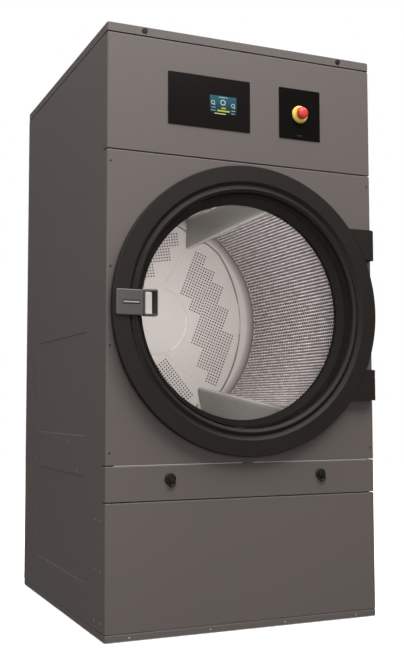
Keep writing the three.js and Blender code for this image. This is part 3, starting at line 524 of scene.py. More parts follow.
def screws(name, spots, radius, material, height=0.42):
    """One mesh of screw heads with star sockets, as high as height times the radius. Each spot is (point,
    outward direction)."""
    bm = bmesh.new()
    rise = radius * height
    outline = [
        (radius, 0), (radius * 0.96, rise * 0.4), (radius * 0.72, rise * 0.85), (radius * 0.42, rise),
        (radius * 0.36, rise * 0.95), (radius * 0.3, rise * 0.2), (0, rise * 0.1),
    ]
    segments, socket = 24, 4
    for point, out in spots:
        turn = Vector(out).to_track_quat("Z", "Y").to_matrix()
        rings = []
        for index, (r, h) in enumerate(outline):
            if r == 0:
                rings.append([bm.verts.new(point + turn @ Vector((0, 0, h * MM)))] * segments)
                continue
            ring = []
            for k in range(segments):
                a = TAU * k / segments
                star = 1 + (0.18 * math.cos(6 * a) if index >= socket else 0)
                local = Vector((r * star * math.cos(a), r * star * math.sin(a), h))
                ring.append(bm.verts.new(point + turn @ local * MM))
            rings.append(ring)
        skin(bm, rings)
        bm.faces.new(rings[0])
    new_object(name, bm, material, "cabinet")


# ------------------------------------------------------------------ cabinet
SHEET = 2.0
CORNER = 6.0  # radius of the cabinet's upright corners
WRAP = 36.0  # how far the front panels are folded back
FOLD = 4.0  # radius of their upper edge
FLANGE = 27.0
MOUTH_R = 398  # opening in the door panel
DRAWER_LOCK_Z = 497
DRAWER_LOCK_BORE = 9
LID_LOCK_BORE = 5.6
STOP_BORE = 12
SPIGOT_R = 76  # inner radius of the exhaust spigot
RING_STEPS = 192  # segments of the large circles


def painted(name, bm, node, body="cabinet", angle=32):
    """A piece of painted sheet in place of a CAD node."""
    new_object(name, bm, PAINT, body, (node,), angle)


def turned_piece(
    name, outline, x, z, material, body, replaces=(), segments=RING_STEPS, steps=5, angle=32,
):
    """A piece made by turning an outline of (radius, y) or (radius, y, corner radius) about x, z."""
    bm = bmesh.new()
    lathe(bm, fillet(outline, steps), x, z, segments)
    new_object(name, bm, material, body, replaces, angle)


def wrap_outline(inset=0.0):
    """Plan of a front panel that is folded back along both sides, in (x, y). The inset draws its face in."""
    arc = 8
    outer, inner = [(-HALF + inset, WRAP)], []
    radius = CORNER - inset
    for side, start in ((-1, math.pi), (1, 1.5 * math.pi)):
        centre = side * (HALF - CORNER)
        for k in range(arc + 1):
            a = start + 0.5 * math.pi * k / arc
            c, s = math.cos(a), math.sin(a)
            small = max(radius - SHEET, 0.1)
            outer.append((centre + radius * c, CORNER + radius * s))
            inner.append((centre + small * c, CORNER + small * s))
    outer.append((HALF - inset, WRAP))
    return outer + [(HALF - inset - SHEET, WRAP)] + inner[::-1] + [(-HALF + inset + SHEET, WRAP)]


def wrap_panel(node, tools=()):
    """A front panel: folded sheet with a crisp lower edge, a rounder upper one, and returned flanges."""
    _, _, z0, _, _, z1 = span(node)
    levels = [(1.0, z0), (0.3, z0 + 0.3), (0, z0 + 1.0)]
    for k in range(7):
        a = 0.5 * math.pi * k / 6
        levels.append((FOLD - FOLD * math.cos(a), z1 - FOLD + FOLD * math.sin(a)))
    bm = bmesh.new()
    rings = stack(bm, wrap_outline, levels)
    bm.faces.new(rings[0])
    bm.faces.new(rings[-1])
    if tools:
        bm = boolean(bm, tools)
    reach = HALF - FLANGE
    block(bm, -reach, reach, 1.6, 20, z0 + 0.2, z0 + 0.2 + SHEET)
    block(bm, -reach, reach, FOLD + 0.4, 20, z1 - SHEET - 0.2, z1 - 0.2)
    return bm


def build_front_panels():
    painted("lower_front", wrap_panel("lower_front_panel"), "lower_front_panel")
    holes = []
    for node in ("drawer_lock_left", "drawer_lock_right"):
        holes.append(cylinder(middle(node)[0], DRAWER_LOCK_Z, DRAWER_LOCK_BORE, -1, 4, 32))
    painted("drawer_panel", wrap_panel("lint_drawer_front", holes), "lint_drawer_front", "lint_drawer")
    mouth = cylinder(DOOR_X, DOOR_Z, MOUTH_R, -2, 30, RING_STEPS)
    painted("door_surround", wrap_panel("door_panel", [mouth]), "door_panel")
    x0, _, z0, x1, _, z1 = span("display_bezel")
    x, _, z = middle("estop_collar")
    openings = [box_tool(x0 + 6, x1 - 6, -2, 4, z0 + 6, z1 - 6), cylinder(x, z, STOP_BORE, -2, 4, 48)]
    painted("fascia", wrap_panel("control_fascia", openings), "control_fascia")


def build_gap_strips():
    """A dark sheet behind the gaps between the front panels, painted shade where they open into the machine,
    and edging strips on the drawer and the plinth, the drawer's pale one a painted highlight.
    """
    bm = bmesh.new()
    for low, high in (("lower_front_panel", "lint_drawer_front"), ("door_panel", "control_fascia")):
        block(bm, -470, 470, 4.6, 18, span(low)[5] + 0.3, span(high)[2] - 0.3)
    new_object("gap_shade", bm, SHADE_BACKING, "cabinet")
    drawer, plinth = span("lint_drawer_front")[5], span("base_plinth")[5]
    # the drawer's pale strip is a painted highlight where its folded top edge catches the light
    strips = (
        ("drawer_highlight_strip", EDGE_HIGHLIGHT_PAINT, "lint_drawer", ((-465, -20), (20, 465)), 1.2, drawer, 2.4, 0.5),
        ("drawer_catch", PAINT, "lint_drawer", ((-19.5, 19.5),), 0.8, drawer, 2.4, 0.5),
        ("plinth_edging", PAINT, "cabinet", ((-470, 470),), 1.0, plinth, 1.2, 0.3),
    )
    for name, material, body, runs, front, top, height, bevel in strips:
        bm = bmesh.new()
        for start, end in runs:
            block(bm, start, end, front, 9, top + 0.1, top + height)
        soften(bm, bevel, 2)
        new_object(name, bm, material, body)


def build_side_panel(side):
    node = "side_panel_left" if side < 0 else "side_panel_right"
    _, y0, z0, _, y1, z1 = span(node)

    def where(u, v, depth):
        return P(side * (HALF - depth), u, v)

    border = [(0.9, 0), (0.35, 0.3), (0, 0.9), (0, SHEET)]
    dish = [(0, 0), (0.8, 0.2), (3.6, 1.6), (4.4, 1.8)]
    faint = [(0, 0), (3, 0.1), (9, 0.5), (12, 0.6)]
    fields = []
    for k, steps in enumerate((dish, dish, faint)):
        low = 148 + 479.5 * k
        fields.append((rounded_rect(205, 870, low, low + 350, 14), steps, True))
    fields.append((circle(52, 1548, 3, 16), [(0, 0), (0, SHEET)], False))
    bm = bmesh.new()
    relief(bm, where, (sharp_rect(y0, y1, z0, z1), border), fields, SHEET)
    painted("side_left" if side < 0 else "side_right", bm, node, angle=20)


def pan(levels, inside_levels):
    """A rounded rectangle in plan, hollow from below. Both lists give (inset, height)."""
    bm = bmesh.new()
    plan = rounded_rect(-HALF, HALF, 0, DEPTH, CORNER)
    outside, inside = stack(bm, plan, levels), stack(bm, plan, inside_levels)
    bridge(bm, outside[0], inside[0])
    bm.faces.new(outside[-1])
    bm.faces.new(inside[1])
    return bm


def build_lid():
    _, _, z0, _, _, z1 = span("top_lid")
    edge = 3.0
    levels = [(0, z0), (0, z1 - edge)]
    for a in (0.4, 0.8, 1.2, math.pi / 2):
        levels.append((edge * (1 - math.cos(a)), z1 - edge + edge * math.sin(a)))
    locks = [middle("lid_lock_left"), middle("lid_lock_right")]
    bores = [cylinder(x, z, LID_LOCK_BORE, -2, 4, 32) for x, _, z in locks]
    painted("lid", boolean(pan(levels, [(SHEET, z0), (SHEET, z1 - SHEET)]), bores), "top_lid", "top_lid")
    for side, (x, _, z) in zip(("left", "right"), locks):
        key = bmesh.new()
        outline = [
            (0, -2.4), (3.4, -2.4), (3.6, -3.0), (8.3, -3.0), (9.2, -2.5), (9.8, -1.5), (9.8, -0.3),
            (5, -0.3),
            (5, 18), (0, 18),
        ]
        lathe(key, outline, x, z, 48)
        key = boolean(key, [box_tool(x - 0.9, x + 0.9, -4, -1.4, z - 2.9, z + 2.9)])
        node = f"lid_lock_{side}"
        new_object(f"lid_key_{side}", key, BLACK_MATT, node, (node,))


def build_plinth():
    _, _, z0, _, _, z1 = span("base_plinth")
    levels = [
        (0.5, z0), (0.1, z0 + 0.3), (0, z0 + 1), (0, z1 - 4), (0.35, z1 - 2.5), (1.2, z1 - 1.1),
        (2.4, z1 - 0.35),
        (4, z1),
    ]
    painted("plinth", pan(levels, [(3, z0), (3, z1 - 4)]), "base_plinth")


def build_rear():
    x0, y0, z0, x1, y1, z1 = span("rear_panel")
    _, _, outlet_z = middle("exhaust_collar")
    gland_x, _, gland_z = middle("cable_gland")

    through = [(-0.6, 0), (0, 0.5), (0, SHEET)]
    holes = [(circle(0, outlet_z, 84, 96), through, False), (circle(gland_x, gland_z, 9, 32), through, False)]
    levels = [1650 + 22 * k for k in range(9)]  # lower edges of the louvres
    holes += [(rounded_rect(-180, 180, z, z + 11, 4, 4), through, False) for z in levels]
    dish = [(0, 0), (1.5, 0.25), (4.5, 0.95), (6.5, 1.2)]
    holes += [(rounded_rect(-400, 400, z, z + 300, 14), dish, True) for z in (260, 640, 1020)]
    border = [(0.6, 0), (0, 0.6), (0, SHEET)]
    bm = bmesh.new()
    relief(bm, facing(y1, -1), (sharp_rect(x0, x1, z0, z1), border), holes, SHEET)
    for z in levels:
        hood = [
            (0, z + 13), (1.8, z + 12.4), (5.2, z + 9), (6.4, z + 3.5), (5.6, z + 3.3), (4.4, z + 8.3),
            (1.2, z + 11.4), (0, z + 11.8),
        ]
        rows = []
        for k in range(9):
            t = math.sin(math.pi * k / 8) ** 0.25
            x = -186 + 372 * k / 8
            rows.append(loop_verts(bm, [P(x, y1 + a * t, b) for a, b in hood]))
        skin(bm, rows)
    new_object("rear_sheet", bm, PAINT, "cabinet", ("rear_panel",), angle=25)

    x0, y0, z0, x1, y1, z1 = span("exhaust_collar")
    outline = fillet([
        (SPIGOT_R, y0 + 3), (SPIGOT_R, y1 - 1, 0.8), (77.5, y1, 0.5), (80, y1, 1), (80, y1 - 9, 2),
        (83, y1 - 14, 3), (83, y1 - 17, 3), (80, y1 - 22, 2), (80, y0 + 3),
    ], 3)
    bm = bmesh.new()
    lathe(bm, outline, 0, outlet_z, 96)
    outer = (rounded_rect(x0, x1, z0, z1, 6), [(0.8, -3), (0, -2.2), (0, 0)])
    hole = (circle(0, outlet_z, SPIGOT_R, 96), [(0, -3), (0, 0)], False)
    relief(bm, facing(y0, -1), outer, [hole], 0)
    new_object("exhaust_spigot", bm, GALVANISED, "cabinet", ("exhaust_collar",))

    y = span("rear_panel")[4] + 0.3
    nut = [
        (6.2, y), (15, y, 0.8), (15, y + 8, 1.5), (11.5, y + 9.5, 1), (11.5, y + 20, 2), (8, y + 23.5, 1.5),
        (6.2, y + 23.5, 0.5),
    ]
    node = ("cable_gland",)
    turned_piece("gland_nut", nut, gland_x, gland_z, BLACK_MATT, "cabinet", node, 6, 3, 25)


SIDE_SCREWS = (
    *[(y, z) for y in (45, 107) for z in (54, 211, 370)],
    (317, 508), (417, 607), (908, 525), (908, 332), (908, 229), (652, 131), (985, 58),
)


def build_cabinet_screws():
    front, back = (0, -1, 0), (0, 1, 0)
    both = (-1, 1)
    spots = [(P(s * 479, 0, z), front) for s in both for z in (582, 920, 1171, 1510)]
    screws("front_screws", spots, 3.6, SCREW_DARK)
    spots = [(P(x, 0, 12), front) for x in (-411, -136, 136, 411)]
    screws("plinth_screws", spots, 3.2, SCREW)
    spots = [(P(s * (HALF - 0.25), y, z), (s, 0, 0)) for s in both for y, z in SIDE_SCREWS]
    screws("side_screws", spots, 4.8, SCREW, 0.09)
    spots = [(P(s * 478, DEPTH, 60 + 205 * k), back) for s in both for k in range(10)]
    spots += [(P(s * 235, DEPTH, z), back) for s in both for z in (60, 1900)]
    screws("rear_screws", spots, 4.2, SCREW)
    plate = span("exhaust_collar")[1] + 3
    spots = [(P(x, plate, 108 + z), back) for x in (-72, 72) for z in (-72, 72)]
    screws("spigot_screws", spots, 3.5, SCREW)


build_front_panels()
build_gap_strips()
build_side_panel(-1)
build_side_panel(1)
build_lid()
build_plinth()
build_rear()
build_cabinet_screws()


# ------------------------------------------------------------------ controls
def front_plate(node, holes, back=None):
    """A face plate like its CAD node, with round corners and a small rounded border."""
    x0, y0, z0, x1, y1, z1 = span(node)
    end = (y1 if back is None else back) - y0
    edge = 0.8
    bm = bmesh.new()
    border = [(edge, 0), (edge * 0.3, edge * 0.3), (0, edge), (0, end)]
    relief(bm, facing(y0), (rounded_rect(x0, x1, z0, z1, 3), border), holes, end)
    return bm


ICON = 0.15  # how far the screen's icons stand out


def build_display():
    sx0, y, sz0, sx1, _, sz1 = span("touch_screen")
    window = rounded_rect(sx0 - 0.5, sx1 + 0.5, sz0 - 0.5, sz1 + 0.5, 1.2)
    bm = front_plate("display_bezel", [(window, [(0, 0), (0.4, 0.5), (0.5, 2.0)], True)], -0.3)
    x0, _, z0, x1, _, z1 = span("display_bezel")
    block(bm, x0 + 7, x1 - 7, 0.5, 32, z0 + 7, z1 - 7)
    new_object("display_face", bm, BLACK, "cabinet", ("display_bezel",))

    def screen_piece(name, tone, bm, low, high, strength, replaces=()):
        material = glowing(tone, rgb(*low), rgb(*high), sz0, sz1, strength)
        new_object(name, bm, material, "cabinet", replaces)

    def raised(bm, outline, holes=()):
        relief(bm, facing(y - ICON), (outline, [(0, 0), (0, ICON)]), holes)

    def on_screen(u, v):
        return sx0 + (sx1 - sx0) * u, sz0 + (sz1 - sz0) * v

    def bar(bm, u, v, width, height):
        x, z = on_screen(u, v)
        half, tall = width / 2, height / 2
        raised(bm, rounded_rect(x - half, x + half, z - tall, z + tall, min(half, tall) * 0.7, 3))

    def ring(bm, u, v, outer, inner):
        x, z = on_screen(u, v)
        raised(bm, circle(x, z, outer, 32), [(circle(x, z, inner, 24), [(0, 0), (0, ICON)], False)])

    screen = bmesh.new()
    relief(screen, facing(y), (rounded_rect(sx0, sx1, sz0, sz1, 1), [(0, 0), (0, 1.5)]), thickness=1.5)
    screen_piece("screen_glass", "screen_teal", screen, (11, 19, 21), (42, 82, 92), 0.3, ("touch_screen",))
    icons = bmesh.new()
    for u, v, size in ((0.12, 0.62, 7.0), (0.49, 0.66, 9.5), (0.87, 0.55, 7.0)):
        ring(icons, u, v, size, size * 0.74)
        bar(icons, u + 0.05, v - 0.11, size * 0.8, 1.8)
    lines = ((0.14, 0.36, 15), (0.13, 0.2, 17), (0.88, 0.27, 15), (0.87, 0.12, 14), (0.5, 0.93, 34))
    for u, v, width in lines:
        bar(icons, u, v, width, 1.5)
    screen_piece("screen_icons", "screen_white", icons, (140, 156, 154), (170, 186, 184), 0.4)
    bars = bmesh.new()
    bar(bars, 0.51, 0.36, 17, 4)
    bar(bars, 0.51, 0.21, 47, 5.5)
    screen_piece("screen_bars", "screen_lime", bars, (128, 138, 50), (172, 178, 74), 0.45)
    foot = bmesh.new()
    bar(foot, 0.38, 0.05, 42, 3.0)
    screen_piece("screen_foot", "screen_amber", foot, (176, 164, 116), (190, 178, 128), 0.4)


def build_stop_button():
    x, _, z = middle("estop_collar")
    hole = (circle(x, z, STOP_BORE, 48), [(0, 0), (0, 2.5)], False)
    plate = front_plate("estop_plate", [hole])
    new_object("stop_plate", plate, BLACK_DEEP, "cabinet", ("estop_plate",))
    _, y0, z0, _, _, _ = span("estop_plate")
    bm = bmesh.new()
    relief(bm, facing(y0 - 0.2), (rounded_rect(x - 11, x + 11, z0 + 13, z0 + 15.2, 1, 3), [(0, 0), (0, 0.2)]))
    new_object("stop_plate_mark", bm, MARK, "cabinet")

    _, y0, _, _, y1, _ = span("estop_collar")
    collar = [
        (10, y1), (30.4, y1, 0.6), (30.4, y0 + 4.5, 2), (26.5, y0, 1.5), (22.5, y0, 1), (21.5, y0 + 1.6, 0.6),
        (10, y0 + 1.6, 0.6),
    ]
    turned_piece("stop_collar", collar, x, z, YELLOW, "cabinet", ("estop_collar",), 96, 4)
    _, y0, _, _, y1, _ = span("estop_stem")
    stem = [(0, y0), (9, y0, 0.8), (9, y1, 1), (0, y1)]
    turned_piece("stop_stem", stem, x, z, BLACK_MATT, "estop_stem", ("estop_stem",), 48, 3)
    _, y0, _, _, y1, _ = span("estop_head")
    cap = [
        (0, y1 - 3), (9.5, y1 - 3, 0.4), (9.5, y1, 0.4), (16.5, y1, 1), (20.4, y1 - 3.4, 1),
        (20.4, y1 - 9.5, 2.5),
        (17, y0 + 3.2, 4), (8, y0 + 0.4, 6), (0, y0),
    ]
    turned_piece("stop_head", cap, x, z, RED, "estop_head", ("estop_head",), 96)

    # two raised arrows round the crown show which way to turn the button
    radius, slope = 11.2, 0.32
    bm = bmesh.new()
    for start in (0.35, 0.35 + math.pi):
        rows = []
        for k in range(9):
            a = start + 1.9 * k / 8
            wide = 1.1 if k < 6 else (2.6 if k == 6 else 2.6 * (8 - k) / 2 + 0.05)
            points = []
            for side, lift in ((-wide, 0), (-wide, 0.55), (wide, 0.55), (wide, 0)):
                r = radius + side
                y = y0 + 1.5 - lift + (r - radius) * slope
                points.append(P(x + r * math.cos(a), y, z + r * math.sin(a)))
            rows.append(loop_verts(bm, points))
        skin(bm, rows)
        bm.faces.new(rows[0])
        bm.faces.new(rows[-1])
    new_object("stop_arrows", bm, RED, "estop_head")


def build_drawer_locks():
    for side in ("left", "right"):
        node = f"drawer_lock_{side}"
        x, z = middle(node)[0], DRAWER_LOCK_Z
        bm = bmesh.new()
        cap = [
            (0, -6.2), (7, -6.2), (9, -7, 1), (15.5, -7, 2), (19, -4, 2.5), (19, -0.3, 0.4), (8, -0.3),
            (8, 20, 1),
            (0, 20),
        ]
        lathe(bm, fillet(cap, 4), x, z, 64)
        hub = [(0, -13), (5, -13), (5.4, -12.4), (8.6, -13, 1.2), (10, -11.5, 1.5), (10, -6), (0, -6)]
        lathe(bm, fillet(hub, 3), x, z, 48)
        # the lifting bail: a bent rod that hangs from the hub
        centre = Vector((x + 3, -7.5, z - 13))
        rows = []
        for k in range(40):
            a = TAU * k / 40
            point = Vector((x + 3 + 11.5 * math.cos(a), -7.5, z - 13 + 11.5 * math.sin(a)))
            out = (point - centre).normalized()
            angles = [TAU * j / 12 for j in range(12)]
            rod = [point + out * (2.5 * math.cos(t)) + Vector((0, 2.2 * math.sin(t), 0)) for t in angles]
            rows.append(loop_verts(bm, [P(*around) for around in rod]))
        skin(bm, rows + rows[:1])
        new_object(f"drawer_latch_{side}", bm, BLACK_MATT, node, (node,))


build_display()
build_stop_button()
build_drawer_locks()


# ------------------------------------------------------------------ door
def door_piece(name, outline, material, replaces=(), body="door"):
    turned_piece(name, outline, DOOR_X, DOOR_Z, material, body, replaces)


def build_ring():
    r, y = DOOR_R, DOOR_FACE
    moulding = [
        (r - 14, -3), (r - 10, -3, 1), (r - 6, -12, 3), (r, -19, 3), (r, y, 3.2), (r - 54, y, 4),
        (r - 66, y + 11, 4.5), (r - 79, y + 2, 4), (r - 89, y + 8, 3), (r - 93.4, y + 26, 0.5),
        (r - 90.6, y + 26, 0.5), (r - 86.5, y + 13, 2), (r - 79, y + 7, 2), (r - 65, y + 17, 3),
        (r - 51, y + 5, 3),
        (r - 5, y + 4, 2), (r - 4.5, -22, 2), (r - 14, -10, 1),
    ]
    door_piece("door_ring_moulding", moulding, PLASTIC, ("door_ring",))
    cone = [
        (387.7, -21, 0.5), (386, 8, 12), (364.5, 26, 2), (364.5, 34, 0.5), (376, 34, 0.5), (376, 50, 0.8),
        (382, 50, 0.8), (382, 34, 1), (389.2, 16, 2), (389.4, -8, 1), (389.4, -21, 0.5),
    ]
    door_piece("door_inner_cone", cone, CONE_PAINTED_LIGHT, ("door_inner_frame",))
    plate = [(390, -6, 1), (390, -3, 1), (475, -3, 1), (475, -6, 1)]
    door_piece("door_rear_plate", plate, GALVANISED, ("door_back_plate",))
    glass = [(0, 34.5), (372, 34.5, 1), (375.4, 36.5, 1), (375.4, 40.1, 0.8), (0, 40.1)]
    door_piece("door_window", glass, GLASS, ("door_glass",))
    gasket = [(365, 40.8, 2), (365, 48, 2.5), (375.6, 48, 2), (375.6, 40.8, 1)]
    door_piece("window_gasket", gasket, RUBBER, ("glass_gasket",))
    seal = [
        (393.7, -1.2, 1.4), (397.7, -1.2, 1.4), (397.7, 2.4), (407, 2.4, 1), (407, 4.9, 1), (397.7, 4.9),
        (397.7, 26, 1.5), (393.7, 22, 1),
    ]
    door_piece("mouth_seal", seal, RUBBER, ("door_seal",), "cabinet")


def latch_piece(name, outer, material, holes=(), thickness=None, replaces=()):
    bm = bmesh.new()
    relief(bm, facing(span("latch_plate")[1]), outer, holes, thickness)
    new_object(name, bm, material, "door", replaces)


def build_latch():
    x0, y0, z0, x1, y1, z1 = span("latch_plate")
    deep = y1 - y0
    border = [(3.2, 0), (1.6, 0.35), (0.5, 1.3), (0, 2.8), (0, deep)]
    badge = (rounded_rect(x0 + 20, x1 - 12, z0 + 34, z0 + 49, 2, 4), [(0, 0), (0.3, 0.7), (0.5, 0.9)], True)
    plate = (rounded_rect(x0, x1, z0, z1, 5), border)
    latch_piece("latch_cover", plate, LATCH, [badge], deep, ("latch_plate",))
    inner = rounded_rect(x0 + 20.8, x1 - 12.8, z0 + 34.8, z0 + 48.2, 1.4, 4)
    latch_piece("latch_badge", (inner, [(0.6, 0.1), (0.2, 0.25), (0, 0.6), (0, 0.88)]), LATCH_DARK)
    stripe = rounded_rect(x0 + 23, x1 - 15, z0 + 39.5, z0 + 43.5, 1.2, 4)
    latch_piece("latch_stripe", (stripe, [(0.4, -0.1), (0, 0.1), (0, 0.3)]), STRIPE)

    x0, y0, z0, x1, y1, z1 = span("pull_handle")
    deep = y1 - y0

    def mouth(draw):
        return rounded_rect(x0 + 3.6, x1 - 3.4 - draw, z0 + 6.5, z1 - 6.5, 2.5, 5)()

    edge = [(2.4, 0), (1.1, 0.4), (0.3, 1.3), (0, 2.6), (0, deep - 0.8), (0.8, deep)]
    steps = [(0, 0), (0.2, 0.4), (0.8, 1.2), (8.0, deep - 0.6), (8.0, deep)]
    bm = bmesh.new()
    relief(bm, facing(y0), (rounded_rect(x0, x1, z0, z1, 5), edge), [(mouth, steps, False)], deep)
    # the inner wall of the grip's mouth gets a darker copy of the latch metal: painted shade in the recess
    front, near, far = P(0, y0 + 1.0, 0).y, P(x1 - 13, 0, 0).x, P(x1 - 3, 0, 0).x
    for face in bm.faces:
        at = face.calc_center_median()
        if at.y > front and near < at.x < far and abs(face.normal.x) > 0.5:
            face.material_index = 1
    new_object("door_handle", bm, LATCH, "door", ("pull_handle",), more=(LATCH_SHADE,))


def knuckle(bm, x, y, low, high):
    """A hinge barrel that stands round the pin at x, y."""
    lathe_up(bm, fillet([(3.1, low), (6, low, 0.8), (6, high, 0.8), (3.1, high)], 3), x, y)


def build_hinge(level):
    arm, bracket = f"hinge_arm_{level}", f"hinge_bracket_{level}"
    x, y, _ = middle(f"hinge_pin_{level}")
    _, y0, z0, _, _, z1 = span(arm)
    z = (z0 + z1) / 2
    ear = bmesh.new()
    outline = fillet([(370, z0), (475, z0, 5), (475, z1, 5), (370, z1)], 5)
    solid_prism(ear, outline, y0, -5)
    ear = boolean(ear, [cylinder(DOOR_X, DOOR_Z, DOOR_R + 0.3, y0 - 20, 10, 256)])
    front = P(0, y0, 0).y

    def rim(edge):
        return all(abs(v.co.y - front) < 1e-6 for v in edge.verts)

    soften(ear, 2.2, 4, 20, rim)
    reach = 28  # half the length of the ear's own barrel
    block(ear, 474, x, y - 5, y + 5, z - reach, z + reach)
    knuckle(ear, x, y, z - reach, z + reach)
    new_object(f"hinge_ear_{level}", ear, PLASTIC, "door", (arm,))

    _, _, low, _, _, high = span(bracket)
    border = [(1, 0), (0.3, 0.3), (0, 1), (0, 2.3)]
    leaf = bmesh.new()
    relief(leaf, facing(-2.6), (rounded_rect(450, 484, low, high, 4), border), thickness=2.3)
    for a, b in ((low, z - reach - 1), (z + reach + 1, high)):
        block(leaf, x - 3, x + 3, y + 3.4, -2, a, b)
        knuckle(leaf, x, y, a, b)
    new_object(f"hinge_leaf_{level}", leaf, PLASTIC, "cabinet", (bracket,))


build_ring()
build_latch()
build_hinge("upper")
build_hinge("lower")


# ------------------------------------------------------------------ drum
WALL_ROWS = 222
WALL_SLOTS = 54  # slots in a row
SLOT_LENGTH = 0.88  # as a part of the pitch along the drum
SLOT_WIDTH = 0.56  # and of the pitch round it
SLOT_DEPTH = 0.9
FRONT_BAND = 24  # plain wall in front of the slots and behind them
REAR_BAND = 3


def drum_point(radius, angle, y):
    return P(DRUM_X + radius * math.cos(angle), y, DRUM_Z + radius * math.sin(angle))


def build_wall_panel(number, first_row, last_row):
    """A third of the perforated wall: rows of slots along the drum, with a rounded bead between two rows."""
    r = DRUM_R
    first, last = DRUM_Y0 + FRONT_BAND, DRUM_Y1 - REAR_BAND
    pitch = (last - first) / WALL_SLOTS
    step = TAU / WALL_ROWS
    bm = bmesh.new()
    grid = {}

    def corner(row, column):
        if (row, column) not in grid:
            grid[row, column] = bm.verts.new(drum_point(r - RIDGE, row * step, first + pitch * column / 2))
        return grid[row, column]

    half, long = SLOT_WIDTH * step / 2, SLOT_LENGTH * pitch / 2
    short = long - pitch * 0.14
    shape = [
        (-long, -0.45), (-short, -1), (short, -1), (long, -0.45), (long, 0.45), (short, 1), (-short, 1),
        (-long, 0.45),
    ]
    for row in range(first_row, last_row):
        shift = row % 2
        if shift:
            for column in (0, 2 * WALL_SLOTS - 1):
                around = ((row, column), (row + 1, column), (row + 1, column + 1), (row, column + 1))
                bm.faces.new([corner(*at) for at in around])
        for column in range(shift, 2 * WALL_SLOTS - shift, 2):
            a = (row + 0.5) * step
            y = first + pitch * (column + 1) / 2
            rim = loop_verts(bm, [drum_point(r, a + half * v, y + u) for u, v in shape])
            inner = [drum_point(r + SLOT_DEPTH, a + half * v * 0.9, y + u * 0.95) for u, v in shape]
            lip = loop_verts(bm, inner)
            c0, c1 = corner(row, column), corner(row, column + 2)
            c2, c3 = corner(row + 1, column + 2), corner(row + 1, column)
            low, high = corner(row, column + 1), corner(row + 1, column + 1)
            for face in (
                (c0, rim[1], rim[0]), (c0, low, rim[2], rim[1]), (low, c1, rim[2]), (c1, rim[3], rim[2]),
                (c1, c2, rim[4], rim[3]), (c2, rim[5], rim[4]), (c2, high, rim[6], rim[5]),
                (high, c3, rim[6]),
                (c3, rim[7], rim[6]), (c3, c0, rim[0], rim[7]),
            ):
                bm.faces.new(face)
            bridge(bm, rim, lip)
    # plain bands in front of the slots and behind them
    for level, column in ((DRUM_Y0 + 3, 0), (DRUM_Y1 - 0.5, 2 * WALL_SLOTS)):
        rows = range(first_row, last_row + 1)
        edge = [bm.verts.new(drum_point(r, row * step, level)) for row in rows]
        bridge(bm, edge, [corner(row, column) for row in rows], closed=False)
    new_object(f"drum_wall_{number}", bm, WALL_STEEL, "drum", angle=180)


def build_drum_body():
    third = WALL_ROWS // 3
    for k in range(3):
        build_wall_panel(k + 1, k * third, (k + 1) * third)
    r, y0, y1 = DRUM_R + 2, DRUM_Y0, DRUM_Y1
    outline = [(r - 0.9, y0 + 4), (r, y0 + 4), (r, y1), (r - 0.9, y1)]
    # a dark sheet just outside the perforated wall: painted shade behind its slots
    turned_piece("drum_slot_shade", outline, DRUM_X, DRUM_Z, SHADE_BACKING, "drum", ("drum_shell",))
    lip = [
        (440, y0 + 0.4, 1), (440, y0 + 3, 1), (r - 4, y0 + 3, 3), (r - 2.2, y0 + 7), (r, y0 + 7), (r, y0, 4),
    ]
    turned_piece("drum_front_lip", lip, DRUM_X, DRUM_Z, STAINLESS, "drum")


HUB_R = 150
HUB_RISE = 4.0  # how far the hub stands out from the spokes
SECTOR_ARC = (-118, -4, 512)  # centre and radius of a field's outer edge
GROOVE_SHADE_FROM = 0.392  # metres from the axis: beyond it a field's edge groove gets painted shade


def sector_outline():
    """One of the back plate's three recessed fields, about the drum axis, as (across, up), anticlockwise."""
    cx, cz, radius = SECTOR_ARC
    arc = []
    for k in range(25):
        a = math.radians(-34.5 + (37 + 34.5) * k / 24)
        arc.append((cx + radius * math.cos(a), cz + radius * math.sin(a)))
    hub = []
    for k in range(11):
        a = math.radians(49 + (-45 - 49) * k / 10)
        hub.append((HUB_R * math.cos(a), HUB_R * math.sin(a)))
    outline = arc + [(226, 352, 40), (132, 312, 34)]
    outline += [(*hub[0], 22)] + hub[2:-2] + [(*hub[-1], 22)]
    outline += [(214, -296, 34), (262, -322, 34)]
    return fillet(outline, 6)


def offset(points, distance):
    """A closed anticlockwise outline moved inwards."""
    result = []
    for i, point in enumerate(points):
        here = Vector(point)
        before = (here - Vector(points[i - 1])).normalized()
        after = (Vector(points[(i + 1) % len(points)]) - here).normalized()
        along = (before + after).normalized()
        result.append((here.x - along.y * distance, here.y + along.x * distance))
    return result


FIELD_TILT = math.radians(-21)
FIELD_STRIPS = ((60, 148, 350), (120, 99.5, 307), (180, -29, 260), (240, -112, 174), (300, -158, 87))
STRIP_HOLES = 5  # holes across a strip
HOLE_PITCH = 12.0
HOLE_RADIUS = 3.8


def field_point(u, v, turn):
    """From the tilted frame of one field's hole pattern to the drum's own (across, up)."""
    a = FIELD_TILT + turn
    return u * math.cos(a) - v * math.sin(a), u * math.sin(a) + v * math.cos(a)


